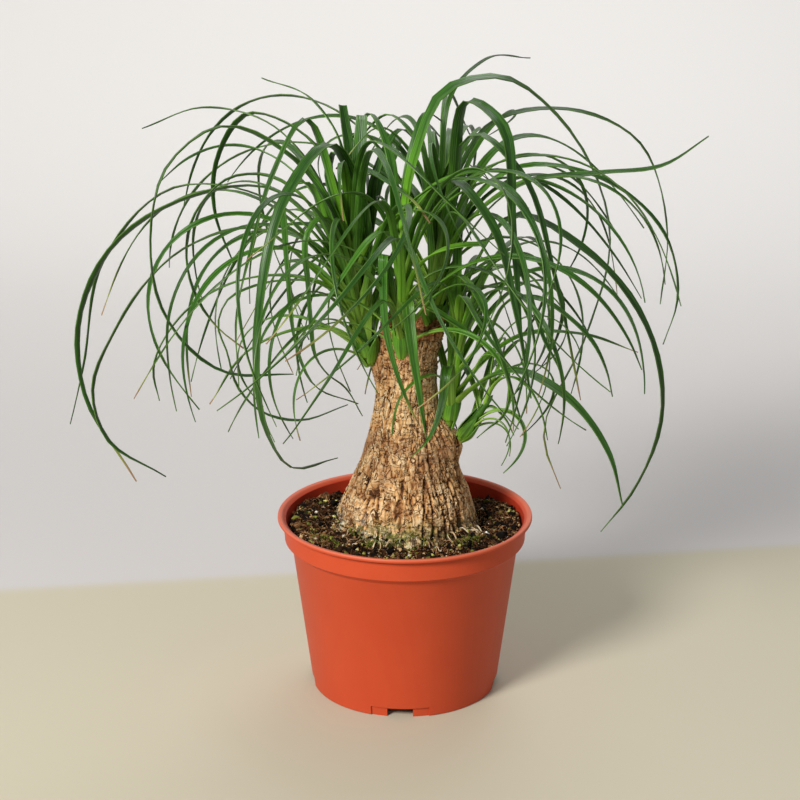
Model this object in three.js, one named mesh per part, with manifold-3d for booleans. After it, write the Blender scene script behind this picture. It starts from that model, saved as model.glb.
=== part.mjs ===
// A ponytail palm in a plastic nursery pot. Millimetres, +Z up.
// The origin is the centre of the pot's underside, on the surface that the pot stands on.
// A bearing is an angle seen from above, in degrees: 0 is right (+X), 90 is back (+Y), 180 is left.

import * as THREE from 'three';
import { mergeVertices } from 'three/addons/utils/BufferGeometryUtils.js';
import Module from 'manifold-3d';

const wasm = await Module();
wasm.setup();

const degree = Math.PI / 180;
const goldenTurn = 0.618034;

// Pot: a 166 mm nursery pot with a rolled lip, a collar over a slanting ledge, and a foot ring
const potHeight = 118;
const lipRadius = 83.2;
const lipHeight = 2.5;
const lipInnerRadius = 79.8;
const collarTopRadius = 79.6;
const collarFootRadius = 78.7;
const collarFootZ = 102;
const ledgeFootZ = 98.4;
const bodyTopRadius = 74.1;
const baseRadius = 61.3;
const potWall = 1.7;
const footInnerRadius = 58.3;
const floorUnderside = 6;
const floorTop = 8;
const hubRadius = 13;
const ribWidth = 3;
const ribUnderside = 1.5;
const potSides = 40;

// Foot slots: a shallow recess in the outside of the foot, with an open notch in its middle
const slotBearings = [267, 357, 87, 177];
const recessWidth = 37.5;
const recessHeight = 6.6;
const recessDepth = 1.2;
const notchWidth = 16.6;
const notchHeight = 5.6;
const drainHoleRadius = 4.5;
const drainHoleDistance = 48;
const cutMargin = 3; // how far the bodies that cut the foot reach past it

// Soil
const clearance = 0.3;
const trunkClearance = 0.5;
const soilLevel = 106;
const lowestSoil = 103.4;
const soilSides = 36;
const soilRings = 6;

// Heaps and dips of the soil: the middle of each, how far it spreads to the side and to the back, its height
const soilHeaps = [
  { x: -66, y: 0, aside: 18, back: 150, height: 5.5 },
  { x: 66, y: 0, aside: 18, back: 150, height: 5.5 },
  { x: 40, y: 55, aside: 40, back: 25, height: -3 },
  { x: 0, y: -62, aside: 60, back: 30, height: 6.5 },
  { x: -38, y: -34, aside: 15, back: 17, height: 8 },
  { x: 36, y: -34, aside: 15, back: 17, height: 8 },
];

// Trunk: [height, radius] of its outline, then [height, shift to the right] of its axis
const trunkOutline = [
  [70, 18], [76, 34], [86, 46], [97, 50], [105, 48.8], [113, 46.5],
  [122, 43.5], [133, 39.5], [145, 34.2], [157, 29], [170, 25], [180, 22.5],
  [191, 20], [205, 18.8], [219, 18.3], [230, 18.8], [238, 19.5], [246, 20],
];
const trunkLean = [[70, 0], [110, 0], [135, 2], [190, 1], [225, 1.5], [246, 4.5]];
const trunkFoot = 70;
const trunkTop = 246;
const trunkSides = 60;
const trunkRowsFrom = 105;
const trunkRowStep = 10;
const ridgeCount = 24;
const ridgeDepthLow = 2.6;
const ridgeDepthHigh = 1.1;
const knobs = [
  { bearing: 188, z: 219, out: 4, reach: 10 },
  { bearing: 352, z: 169, out: 9.5, reach: 13 },
  { bearing: 265, z: 228, out: 2.5, reach: 8 },
  { bearing: 35, z: 236, out: 3, reach: 9 },
];

// Leaves
const bladeDepth = 0.85;
const leafStep = 38;
const shownLeafStep = 33;
const fewestSteps = 4;
const fewestShownSteps = 7;
const mostSteps = 12;
const courseSteps = 61; // a prime number, so that no station falls just where two spans of a course meet
const leafGap = 0.45;
const rootNarrowing = 0.3;
const rootLength = 16;
const rootSink = 2.4;
const taperStart = 0.35;
const taperPower = 1.6;
const tipTaper = 0.86;
const bluntTaper = 0.3;
const twistPower = 1.3;
const driftPower = 3;
const thinnestBlade = 0.62;
const sharedRoot = 44;
const shownSharedRoot = 110;
const trunkGap = 1.8;

// The outline of the whole crown, which the rule's leaves stay inside
const crownCentre = [-11, 0, 250];
const crownReach = 194;
const crownRise = 158;

// The opening in the crown's front, through which the trunk shows
const openFront = -18;
const openCentre = -4;
const openHalf = 60;
const openTop = 232;

// How a leaf gives way to the others: by swings to either side, in degrees, and by growing shorter
const shownSwing = 14;
const shownSwingStep = 2;
const ruleSwing = 40;
const ruleSwingStep = 5;
const shorter = [1, 0.87, 0.75, 0.65, 0.55];

// Leafy shoots: where each sits, how its sheath leans, and how many leaves its rule adds. length and width are
// those of its largest rule leaves, and hang is how far below the crown's centre these may reach.
const shoots = {
  left: {
    base: [-22, -6, 220], lean: 12, towards: 195, bulb: 7, height: 70,
    hang: 72, seed: 11, count: 36, facing: 185, spread: 290, length: 350, width: 5.6,
  },
  front: {
    base: [-2, -19, 229], lean: 7, towards: 262, bulb: 5, height: 62,
    hang: 72, seed: 23, count: 30, facing: 262, spread: 230, length: 290, width: 5.2,
  },
  crown: {
    base: [18, 13, 236], lean: 7, towards: 30, bulb: 7.6, height: 66,
    hang: 76, seed: 37, count: 54, facing: 60, spread: 340, length: 340, width: 5.6,
  },
  right: {
    base: [28, -5, 177], lean: 5, towards: 5, bulb: 5.4, height: 90,
    hang: 80, seed: 41, count: 48, facing: 5, spread: 270, length: 320, width: 5.2,
  },
  low: {
    base: [35, -9, 171], lean: 34, towards: 350, bulb: 5, height: 38,
    hang: 110, seed: 59, count: 14, facing: 345, spread: 230, length: 150, width: 4,
  },
};

// The outline of a shoot's sheath: [share of its height, share of the bulb's radius]
const sheathOutline = [
  [0, 0.4], [0.09, 0.78], [0.17, 1], [0.26, 0.96], [0.45, 0.74], [0.7, 0.52], [0.93, 0.36], [1, 0],
];

// Leaves whose course the photo shows. through holds [out, up] from the base of the shoot's sheath, in the
// upright plane at the leaf's bearing, and drift turns that plane round by the tip.
const shownLeaves = [
  {
    shoot: 'left', bearing: 178, width: 7.5, twist: 60,
    through: [[19, 73], [57, 114], [110, 108], [161, 74], [183, 26], [182, -18], [150, -80]],
  },
  {
    shoot: 'left', bearing: 196, width: 7, twist: 50,
    through: [[26, 62], [65, 94], [108, 85], [154, 35], [169, -2], [162, -33], [126, -62]],
  },
  {
    shoot: 'left', bearing: 170, width: 4, twist: 40,
    through: [[25, 79], [67, 109], [118, 112], [170, 60], [186, -9], [197, -50]],
  },
  {
    shoot: 'left', bearing: 205, width: 8, twist: 40,
    through: [[13, 100], [41, 138], [87, 160], [119, 140], [132, 96], [124, 47], [89, 8], [42, 0]],
  },
  {
    shoot: 'left', bearing: 160, width: 6.5, twist: 50,
    through: [[10, 104], [34, 145], [74, 157], [97, 124], [98, 89], [86, 60]],
  },
  {
    shoot: 'left', bearing: 235, width: 9, twist: 10,
    through: [[5, 112], [34, 148], [78, 123], [103, 69], [100, -18], [81, -44], [30, -54]],
  },
  {
    shoot: 'left', bearing: 216, width: 7, twist: 25,
    through: [[15, 113], [37, 162], [61, 129], [77, 86], [88, 50], [88, 0]],
  },
  {
    shoot: 'left', bearing: 190, width: 6, twist: 30,
    through: [[17, 50], [62, 62], [111, 41], [132, 3], [129, -16]],
  },
  {
    shoot: 'left', bearing: 140, width: 3, twist: 20,
    through: [[4, 80], [15, 150], [34, 167], [77, 176]],
  },
  {
    shoot: 'left', bearing: 165, width: 4, twist: 30,
    through: [[16, 104], [58, 154], [101, 161], [141, 146]],
  },
  {
    shoot: 'left', bearing: 310, width: 7.5, twist: 10,
    through: [[-17, 85], [-33, 127], [-28, 134], [-13, 130], [12, 126], [34, 120], [51, 114], [64, 104]],
  },
  {
    shoot: 'left', bearing: 75, width: 9, twist: 5, blunt: true,
    through: [[3, 70], [5, 120], [14, 158]],
  },
  {
    shoot: 'left', bearing: 120, width: 8, twist: 15, blunt: true,
    through: [[6, 70], [16, 120], [40, 160]],
  },
  {
    shoot: 'left', bearing: 186, width: 6, twist: 30,
    through: [[20, 24], [45, 25], [75, 12], [100, -22]],
  },
  {
    shoot: 'left', bearing: 184, width: 7, twist: 25,
    through: [
      [16, 82], [37, 114], [55, 124], [77, 123], [100, 100], [106, 73], [102, 51], [88, 27], [72, 13],
    ],
  },
  {
    shoot: 'left', bearing: 200, width: 4, twist: 40,
    through: [
      [26, 56], [52, 61], [70, 59], [88, 51], [94, 36], [89, 19], [82, -6], [69, -22], [41, -32], [10, -25],
    ],
  },
  {
    shoot: 'left', bearing: 222, width: 6, twist: 10,
    through: [[20, 91], [40, 125], [53, 121], [54, 96], [52, 62], [48, 26], [35, -4], [-3, -26]],
  },
  {
    shoot: 'left', bearing: 230, width: 5, twist: 15,
    through: [[18, 85], [33, 103], [46, 96], [47, 62], [45, 37], [42, 17], [32, 3], [14, -11], [-2, -34]],
  },
  {
    shoot: 'front', bearing: 215, width: 8, twist: 20,
    through: [[7, 99], [16, 148], [55, 112], [90, 78], [104, 30]],
  },
  {
    shoot: 'front', bearing: 237, drift: 56, width: 6, twist: 5,
    through: [[10, 39], [16, 61], [20, 72], [24, 50], [27, 32], [28, 8], [29, -6], [28, -23], [29, -35]],
  },
  {
    shoot: 'front', bearing: 283, drift: 18, width: 6.6, twist: 5,
    through: [[8, 28], [14, 41], [21, 27], [25, 17], [28, 6], [32, -11], [32, -22], [31, -44]],
  },
  {
    shoot: 'front', bearing: 345, width: 6.5, twist: 10, blunt: true,
    through: [[4, 31], [10, 35], [20, 33], [30, 28], [42, 21]],
  },
  {
    shoot: 'front', bearing: 318, drift: 20, width: 6.5, twist: 20, blunt: true,
    through: [[5, 39], [9, 54], [23, 70], [42, 78], [56, 79]],
  },
  {
    shoot: 'front', bearing: 318, width: 8, twist: 25,
    through: [[12, 90], [40, 120], [70, 100], [92, 45], [104, -4]],
  },
  {
    shoot: 'front', bearing: 25, width: 8.5, twist: 50,
    through: [[10, 130], [28, 166], [66, 173], [112, 142], [150, 60], [134, 0], [104, -66], [118, -104]],
  },
  {
    shoot: 'crown', bearing: 310, width: 9.5, twist: 20,
    through: [[14, 100], [27, 153], [56, 143], [68, 83], [80, 0]],
  },
  {
    shoot: 'crown', bearing: 330, width: 6, twist: 30,
    through: [[4, 100], [28, 132], [58, 112], [84, 48], [104, -29]],
  },
  {
    shoot: 'crown', bearing: 355, width: 6, twist: 50,
    through: [[10, 60], [50, 98], [100, 106], [140, 112], [166, 130]],
  },
  {
    shoot: 'crown', bearing: 15, width: 5, twist: 40,
    through: [[8, 90], [34, 134], [83, 141], [133, 119], [157, 56], [154, 8]],
  },
  {
    shoot: 'crown', bearing: 2, width: 5, twist: 50,
    through: [[8, 60], [48, 107], [95, 103], [146, 60], [154, 19], [146, -10]],
  },
  {
    shoot: 'crown', bearing: 60, width: 3, twist: 30,
    through: [[2, 90], [13, 150], [60, 168], [125, 161]],
  },
  {
    shoot: 'right', bearing: 345, width: 8, twist: 45,
    through: [[10, 100], [38, 142], [84, 121], [126, 66], [134, 20], [118, -34], [98, -64]],
  },
  {
    shoot: 'right', bearing: 263, drift: -23, width: 6.5, twist: 10,
    through: [[8, 22], [16, 47], [22, 45], [27, 28], [32, 18], [41, 5], [45, 2], [51, -3]],
  },
  {
    shoot: 'right', bearing: 207, width: 3.4, twist: 10,
    through: [[3, 23], [9, 37], [22, 40], [34, 37], [44, 29], [49, 15], [50, 6]],
  },
  {
    shoot: 'right', bearing: 320, width: 6.5, twist: 15,
    through: [[16, 89], [32, 115], [44, 121], [55, 105], [62, 88], [70, 70], [81, 54], [85, 40]],
  },
  {
    shoot: 'right', bearing: 332, width: 5.5, twist: 30,
    through: [[22, 63], [39, 91], [58, 94], [78, 85], [95, 71], [105, 53], [109, 38]],
  },
  {
    shoot: 'right', bearing: 335, width: 4.5, twist: 30,
    through: [[15, 40], [25, 54], [32, 52], [38, 41], [40, 28], [36, 14], [25, 3], [18, -4]],
  },
  {
    shoot: 'right', bearing: 330, width: 8, twist: 30,
    through: [[12, 26], [45, 46], [80, 36], [112, 2], [122, -30]],
  },
  {
    shoot: 'right', bearing: 20, width: 4, twist: 40,
    through: [[10, 30], [45, 58], [90, 56], [130, 40]],
  },
  {
    shoot: 'low', bearing: 338, width: 3.4, twist: 20,
    through: [[4, 14], [10, 25], [16, 29], [19, 24], [12, 12], [9, 2], [8, -3]],
  },
  {
    shoot: 'low', bearing: 357, width: 3.6, twist: 20,
    through: [[4, 10], [10, 20], [16, 23], [26, 15], [32, 4]],
  },
  {
    shoot: 'front', bearing: 60, width: 7.5, twist: 10,
    through: [[4, 80], [10, 120], [30, 150], [60, 140]],
  },
  {
    shoot: 'front', bearing: 130, width: 7, twist: 15,
    through: [[6, 90], [14, 130], [36, 150], [64, 128]],
  },
  {
    shoot: 'crown', bearing: 150, width: 7, twist: 10,
    through: [[4, 80], [14, 120], [36, 138], [64, 116]],
  },
  {
    shoot: 'crown', bearing: 200, width: 7.5, twist: 15,
    through: [[6, 70], [14, 112], [38, 136], [68, 112]],
  },
  {
    shoot: 'crown', bearing: 240, width: 6.5, twist: 10,
    through: [[6, 80], [12, 125], [28, 144], [50, 128]],
  },
  {
    shoot: 'left', bearing: 40, width: 7.5, twist: 10,
    through: [[8, 80], [18, 125], [40, 146], [70, 126]],
  },
  {
    shoot: 'right', bearing: 80, width: 6.5, twist: 20,
    through: [[6, 90], [14, 140], [34, 165], [64, 150]],
  },
];

// Even random numbers from 0 to 1, the same on every run
function randomFrom(seed) {
  let state = seed >>> 0;
  return () => {
    state = (state + 0x6d2b79f5) >>> 0;
    let mixed = Math.imul(state ^ (state >>> 15), state | 1);
    mixed ^= mixed + Math.imul(mixed ^ (mixed >>> 7), mixed | 61);
    return ((mixed ^ (mixed >>> 14)) >>> 0) / 4294967296;
  };
}

// The level direction at a bearing in degrees
function level(bearing) {
  return new THREE.Vector3(Math.cos(bearing * degree), Math.sin(bearing * degree), 0);
}

// The value at x of a line through [x, value] pairs
function along(pairs, x) {
  let i = 0;
  while (i < pairs.length - 2 && x > pairs[i + 1][0]) {
    i += 1;
  }
  const [x0, y0] = pairs[i];
  const [x1, y1] = pairs[i + 1];
  const share = Math.min(1, Math.max(0, (x - x0) / (x1 - x0)));
  return y0 + (y1 - y0) * share;
}

// Solids

function solid(geometry) {
  geometry.deleteAttribute('normal');
  geometry.deleteAttribute('uv');
  const merged = mergeVertices(geometry, 1e-4);
  return new wasm.Manifold(new wasm.Mesh({
    numProp: 3,
    vertProperties: merged.attributes.position.array,
    triVerts: new Uint32Array(merged.index.array),
  }));
}

function together(solids) {
  return solids.reduce((whole, next) => whole.add(next));
}

// Joins solids in one body, with any hollow that they close off filled
function joined(solids) {
  return together(solids).decompose().reduce((largest, next) => (
    next.volume() > largest.volume() ? next : largest
  ));
}

// A profile of [radius, height] points turned round the Z axis
function turned(profile, sides) {
  const points = profile.map(([radius, height]) => new THREE.Vector2(radius, height));
  return new THREE.LatheGeometry(points, sides).rotateX(90 * degree);
}

// A box centred on a bearing, from one radius to another
function radialBox(bearing, innerRadius, outerRadius, width, zLow, zHigh) {
  const box = new THREE.BoxGeometry(outerRadius - innerRadius, width, zHigh - zLow);
  box.translate((innerRadius + outerRadius) / 2, 0, (zLow + zHigh) / 2);
  return solid(box.rotateZ(bearing * degree));
}

// Moves every vertex of a geometry by a function of its place
function reshaped(geometry, move) {
  const places = geometry.attributes.position;
  const place = new THREE.Vector3();
  for (let i = 0; i < places.count; i += 1) {
    place.fromBufferAttribute(places, i);
    move(place);
    places.setXYZ(i, place.x, place.y, place.z);
  }
  return geometry;
}

// Pot

function wallRadius(z) {
  return baseRadius + (bodyTopRadius - baseRadius) * z / ledgeFootZ;
}

function potBody() {
  const lipFoot = potHeight - lipHeight;
  const lipMiddle = (lipRadius + lipInnerRadius) / 2;
  const profile = [
    [0, 0],
    [hubRadius, 0],
    [hubRadius + 1, floorUnderside],
    [footInnerRadius + 0.4, floorUnderside],
    [footInnerRadius, 0],
    [baseRadius - 0.9, 0],
    [baseRadius + 0.1, 1],
    [bodyTopRadius, ledgeFootZ],
    [collarFootRadius - 0.3, collarFootZ - 0.3],
    [collarFootRadius, collarFootZ + 0.4],
    [collarTopRadius, lipFoot],
    [lipRadius - 0.8, lipFoot],
    [lipRadius, lipFoot + 0.9],
    [lipRadius, potHeight - 1.3],
    [lipRadius - 0.9, potHeight - 0.2],
    [lipMiddle, potHeight],
    [lipInnerRadius, potHeight - 0.6],
    [collarTopRadius - potWall, potHeight - 2.4],
    [collarFootRadius - potWall, collarFootZ + 0.7],
    [bodyTopRadius - potWall, ledgeFootZ + 0.5],
    [wallRadius(floorTop + 2) - potWall, floorTop + 2],
    [wallRadius(floorTop) - potWall - 2, floorTop],
    [0, floorTop],
  ];
  return solid(turned(profile, potSides));
}

// The recesses end on a core that keeps to the slant of the wall
function footCuts() {
  const low = -cutMargin;
  const high = recessHeight + cutMargin;
  const coreSide = [low, high].map((z) => [wallRadius(z) - recessDepth, z]);
  const core = solid(turned([[0, low], ...coreSide, [0, high]], potSides));
  const inner = footInnerRadius - cutMargin;
  const outer = baseRadius + 2 * cutMargin;
  return together(slotBearings.flatMap((bearing) => {
    const hole = new THREE.CylinderGeometry(drainHoleRadius, drainHoleRadius, floorTop + 2 * cutMargin, 12);
    hole.rotateX(90 * degree).translate(drainHoleDistance, 0, floorTop / 2).rotateZ(bearing * degree);
    return [
      radialBox(bearing, inner, outer, recessWidth, low, recessHeight).subtract(core),
      radialBox(bearing, inner, outer, notchWidth, low, notchHeight),
      solid(hole),
    ];
  }));
}

function makePot() {
  const ribs = slotBearings.map((bearing) => (
    radialBox(bearing + 45, hubRadius - 2, footInnerRadius + 1, ribWidth, ribUnderside, floorUnderside + 1)
  ));
  return joined([potBody(), ...ribs]).subtract(footCuts());
}

// Trunk

// How far a place on the trunk stands out at the knobs that carry the shoots
function knobRise(bearing, z, radius) {
  return knobs.reduce((rise, knob) => {
    let turn = bearing / degree - knob.bearing;
    turn -= 360 * Math.round(turn / 360);
    const across = turn * degree * radius;
    const distance = (across * across + (z - knob.z) ** 2) / (knob.reach * knob.reach);
    return rise + knob.out * Math.exp(-distance);
  }, 0);
}

// How deep the bark's fissures cut: narrow grooves between broad ridges, that wander as they climb
function fissure(bearing, z) {
  const wander = 0.5 * Math.sin(z / 17 + 3 * bearing) + 0.35 * Math.sin(z / 7.3 + 5 * bearing);
  const groove = (1 - Math.abs(Math.sin(bearing * ridgeCount / 2 + wander))) ** 2;
  const strength = 0.75 + 0.25 * Math.sin(z / 9 + 4 * bearing);
  const depth = along([[96, 0], [108, ridgeDepthLow], [180, ridgeDepthHigh], [246, ridgeDepthHigh]], z);
  return depth * strength * groove;
}

function trunkRadius(bearing, z) {
  const radius = along(trunkOutline, z);
  return radius + knobRise(bearing, z, radius);
}

function trunkProfile() {
  const rows = trunkOutline.filter(([z]) => z < trunkRowsFrom).map(([z, radius]) => [radius, z]);
  for (let z = trunkRowsFrom; z < trunkTop - 2; z += trunkRowStep) {
    rows.push([along(trunkOutline, z), z]);
  }
  const rim = along(trunkOutline, trunkTop);
  const cutTop = [[rim, trunkTop - 2], [rim - 3, trunkTop], [rim - 7, trunkTop - 4], [0, trunkTop - 5]];
  return [[0, trunkFoot], ...rows, ...cutTop];
}

function makeTrunk() {
  const bark = reshaped(turned(trunkProfile(), trunkSides), (place) => {
    const radius = Math.hypot(place.x, place.y);
    if (radius > 1) {
      const bearing = Math.atan2(place.y, place.x);
      const side = radius > along(trunkOutline, place.z) - 0.5;
      const moved = side ? knobRise(bearing, place.z, radius) - fissure(bearing, place.z) : 0;
      place.x *= 1 + moved / radius;
      place.y *= 1 + moved / radius;
      if (place.z > trunkTop - 6) {
        place.z += 1.6 * Math.sin(3 * bearing + 1) + 1.1 * Math.sin(7 * bearing);
      }
    }
    place.x += along(trunkLean, place.z);
  });
  return solid(bark);
}

// Soil

function soilHeight(x, y) {
  const heaped = soilHeaps.reduce((sum, heap) => {
    const distance = ((x - heap.x) / heap.aside) ** 2 + ((y - heap.y) / heap.back) ** 2;
    return sum + heap.height * Math.exp(-distance);
  }, 0);
  const lumpsAcross = Math.sin(0.31 * x + 1.3 * Math.sin(0.23 * y));
  const lumpsAlong = Math.sin(0.29 * y + 1.1 * Math.sin(0.19 * x));
  const crumbs = 0.9 * Math.sin(0.73 * x + 2) * Math.sin(0.67 * y + 1);
  return Math.max(soilLevel + heaped + 1.5 * lumpsAcross * lumpsAlong + crumbs, lowestSoil);
}

function makeSoil() {
  const inside = (z) => wallRadius(z) - potWall - clearance;
  const rim = collarFootRadius - potWall - 1.3;
  const profile = [
    [0, floorTop + clearance],
    [inside(floorTop) - 2.4, floorTop + clearance],
    [inside(floorTop + 2.5), floorTop + 2.5],
    [inside(ledgeFootZ), ledgeFootZ + 0.6],
    [rim, collarFootZ + 0.4],
  ];
  const holeRadius = along(trunkOutline, soilLevel) - 6;
  for (let ring = 0; ring < soilRings; ring += 1) {
    profile.push([rim - (rim - holeRadius) * ring / (soilRings - 1), soilLevel]);
  }
  profile.push([0, soilLevel]);
  const filling = reshaped(turned(profile, soilSides), (place) => {
    if (place.z > soilLevel - 1) {
      place.z = soilHeight(place.x, place.y);
    }
  });
  const plug = trunkOutline.filter(([z]) => z < 120).map(([z, radius]) => [radius + trunkClearance, z]);
  const lowEnd = [[0, trunkFoot - clearance], [plug[0][0], trunkFoot - clearance]];
  const highEnd = [[plug[plug.length - 1][0], soilLevel + 30], [0, soilLevel + 30]];
  return solid(filling).subtract(solid(turned([...lowEnd, ...plug, ...highEnd], soilSides)));
}

// Leaves

// A leaf's course lies in its upright plane, as close points [out, up].
// This one is a smooth curve through a few points placed by hand.
function courseThrough(points) {
  const spans = points.slice(1).map(([out, up], i) => Math.hypot(out - points[i][0], up - points[i][1]));
  const slopes = points.map((point, i) => {
    const before = i > 0 ? point.map((value, k) => (value - points[i - 1][k]) / spans[i - 1]) : null;
    const after = i < spans.length ? point.map((value, k) => (points[i + 1][k] - value) / spans[i]) : null;
    if (!before || !after) {
      return before || after;
    }
    const total = spans[i - 1] + spans[i];
    return before.map((value, k) => (value * spans[i] + after[k] * spans[i - 1]) / total);
  });
  const course = [];
  for (let step = 0; step <= courseSteps; step += 1) {
    const place = step / courseSteps * spans.length;
    const i = Math.min(spans.length - 1, Math.floor(place));
    const t = place - i;
    const eased = t * t * (3 - 2 * t);
    const weights = [1 - eased, t * (1 - t) ** 2, eased, t * t * (t - 1)];
    course.push([0, 1].map((k) => (
      weights[0] * points[i][k] + weights[1] * spans[i] * slopes[i][k]
      + weights[2] * points[i + 1][k] + weights[3] * spans[i] * slopes[i + 1][k]
    )));
  }
  return course;
}

// An arch that leaves at the angle rise and bends over to the angle fall
function courseArching(start, length, rise, fall, bend) {
  const course = [start];
  for (let step = 1; step <= courseSteps; step += 1) {
    const share = ((step - 0.5) / courseSteps) ** bend;
    const angle = (rise - (rise - fall) * share * share * (3 - 2 * share)) * degree;
    const [out, up] = course[step - 1];
    const stride = length / courseSteps;
    course.push([out + stride * Math.cos(angle), up + stride * Math.sin(angle)]);
  }
  return course;
}

// The distance along a course at each of its points
function distancesAlong(course) {
  const distances = [0];
  for (let i = 1; i < course.length; i += 1) {
    const [out, up] = course[i];
    distances.push(distances[i - 1] + Math.hypot(out - course[i - 1][0], up - course[i - 1][1]));
  }
  return distances;
}

function coursePlace(course, distances, distance) {
  let i = 1;
  while (i < course.length - 1 && distances[i] < distance) {
    i += 1;
  }
  const part = (distance - distances[i - 1]) / (distances[i] - distances[i - 1]);
  const [out0, up0] = course[i - 1];
  const [out1, up1] = course[i];
  return {
    out: out0 + (out1 - out0) * part,
    up: up0 + (up1 - up0) * part,
    slope: Math.atan2(up1 - up0, out1 - out0),
  };
}

// A leaf narrows at its root, where its sheath wraps the others, and tapers over its outer part
function bladeWidth(leaf, distance, share) {
  const rooted = 1 - rootNarrowing * Math.exp(-distance / rootLength);
  const outer = Math.max(0, (share - taperStart) / (1 - taperStart)) ** taperPower;
  return leaf.width * rooted * (1 - (leaf.blunt ? bluntTaper : tipTaper) * outer);
}

// Stations along a leaf at even distances, each with its place and the directions of its width and face
function stationsOf(leaf) {
  const shoot = shoots[leaf.shoot];
  const distances = distancesAlong(leaf.course);
  const length = distances[distances.length - 1];
  const stride = leaf.shown ? shownLeafStep : leafStep;
  const fewest = leaf.shown ? fewestShownSteps : fewestSteps;
  const steps = Math.min(mostSteps, Math.max(fewest, Math.round(length / stride)));
  const leaning = level(shoot.towards).multiplyScalar(leaf.root * Math.sin(shoot.lean * degree));
  const start = new THREE.Vector3(...shoot.base).add(leaning);
  const stations = [];
  for (let step = 0; step <= steps; step += 1) {
    const share = step / steps;
    const { out, up, slope } = coursePlace(leaf.course, distances, share * length);
    const bearing = leaf.bearing + leaf.drift * share ** driftPower;
    const outward = level(bearing);
    const across = level(bearing + 90);
    const face = outward.clone().multiplyScalar(-Math.sin(slope)).setZ(Math.cos(slope));
    const twist = leaf.twist * share ** twistPower * degree;
    stations.push({
      place: start.clone().addScaledVector(outward, out).add(new THREE.Vector3(0, 0, up)),
      across: across.clone().multiplyScalar(Math.cos(twist)).addScaledVector(face, Math.sin(twist)),
      face: face.clone().multiplyScalar(Math.cos(twist)).addScaledVector(across, -Math.sin(twist)),
      half: bladeWidth(leaf, share * length, share) / 2,
    });
  }
  return stations;
}

// The closest points of two straight spans
function closest(a0, a1, b0, b1) {
  const u = a1.clone().sub(a0);
  const v = b1.clone().sub(b0);
  const w = a0.clone().sub(b0);
  const uu = u.dot(u);
  const uv = u.dot(v);
  const vv = v.dot(v);
  const uw = u.dot(w);
  const vw = v.dot(w);
  const clamp = (value) => Math.min(1, Math.max(0, value));
  const fall = uu * vv - uv * uv;
  let s = fall > 1e-9 ? clamp((uv * vw - vv * uw) / fall) : 0;
  const t = clamp((uv * s + vw) / vv);
  s = clamp((uv * t - uw) / uu);
  return [a0.clone().addScaledVector(u, s), b0.clone().addScaledVector(v, t)];
}

// How far a blade or a round sheath reaches from its middle line in a direction
function reachOf(station, direction) {
  if (station.round) {
    return station.half;
  }
  return Math.abs(station.across.dot(direction)) * station.half
    + Math.abs(station.face.dot(direction)) * bladeDepth;
}

function spansTouch(a, i, b, j, rootZone) {
  const [p, q] = closest(a[i].place, a[i + 1].place, b[j].place, b[j + 1].place);
  if (p.distanceTo(a[0].place) < rootZone && q.distanceTo(b[0].place) < rootZone) {
    return false;
  }
  const apart = q.clone().sub(p);
  const distance = apart.length();
  if (distance > a[i].half + b[j].half + 2 * bladeDepth + leafGap) {
    return false;
  }
  if (distance < 0.5) {
    return true;
  }
  apart.divideScalar(distance);
  return distance < reachOf(a[i], apart) + reachOf(b[j], apart) + leafGap;
}

function boundsOf(stations) {
  return new THREE.Box3().setFromPoints(stations.map(({ place }) => place)).expandByScalar(6);
}

// Two leaves of one shoot may meet near their roots, where their sheaths wrap one another
function leavesTouch(a, b) {
  if (!a.bounds.intersectsBox(b.bounds)) {
    return false;
  }
  const sameShoot = a.shown && b.shown ? shownSharedRoot : sharedRoot;
  const rootZone = a.shoot === b.shoot ? sameShoot : 0;
  for (let i = 0; i < a.stations.length - 1; i += 1) {
    for (let j = 0; j < b.stations.length - 1; j += 1) {
      if (spansTouch(a.stations, i, b.stations, j, rootZone)) {
        return true;
      }
    }
  }
  return false;
}

// Whether a leaf runs into the trunk, the pot or the soil
function meetsTrunkOrPot({ stations }) {
  const root = stations[0].place;
  for (let i = 1; i < stations.length; i += 1) {
    for (let part = 0; part < 1; part += 0.2) {
      const place = stations[i - 1].place.clone().lerp(stations[i].place, part);
      const x = place.x - along(trunkLean, place.z);
      const bearing = Math.atan2(place.y, x);
      const distance = Math.hypot(x, place.y);
      const outward = new THREE.Vector3(Math.cos(bearing), Math.sin(bearing), 0);
      const margin = reachOf(stations[i - 1], outward) + trunkGap;
      const nearTrunk = place.z < trunkTop + 4 && distance < trunkRadius(bearing, place.z) + margin;
      if (nearTrunk && place.distanceTo(root) > 4) {
        return true;
      }
      if (place.z < potHeight + 4 && Math.hypot(place.x, place.y) < lipRadius + 4) {
        return true;
      }
    }
  }
  return false;
}

// Whether a leaf reaches out of the crown, or hangs in the opening before the trunk
function leavesCrown({ shoot, stations }) {
  return stations.some(({ place }) => {
    const aside = Math.hypot(place.x - crownCentre[0], place.y - crownCentre[1]) / crownReach;
    const up = place.z - crownCentre[2];
    const outside = Math.hypot(aside, up / (up > 0 ? crownRise : shoots[shoot].hang)) > 1;
    const opening = place.y < openFront && Math.abs(place.x - openCentre) < openHalf && place.z < openTop;
    return outside || opening;
  });
}

// The sheath of a shoot as a row of round stations, for the test on crossing leaves
function sheathStations(shoot) {
  const axis = sheathAxis(shoot);
  return sheathOutline.map(([share, wide]) => ({
    round: true,
    place: new THREE.Vector3(...shoot.base).addScaledVector(axis, share * shoot.height),
    half: shoot.bulb * wide + clearance,
  }));
}

function sheathAxis({ lean, towards }) {
  return level(towards).multiplyScalar(Math.sin(lean * degree)).setZ(Math.cos(lean * degree));
}

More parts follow.
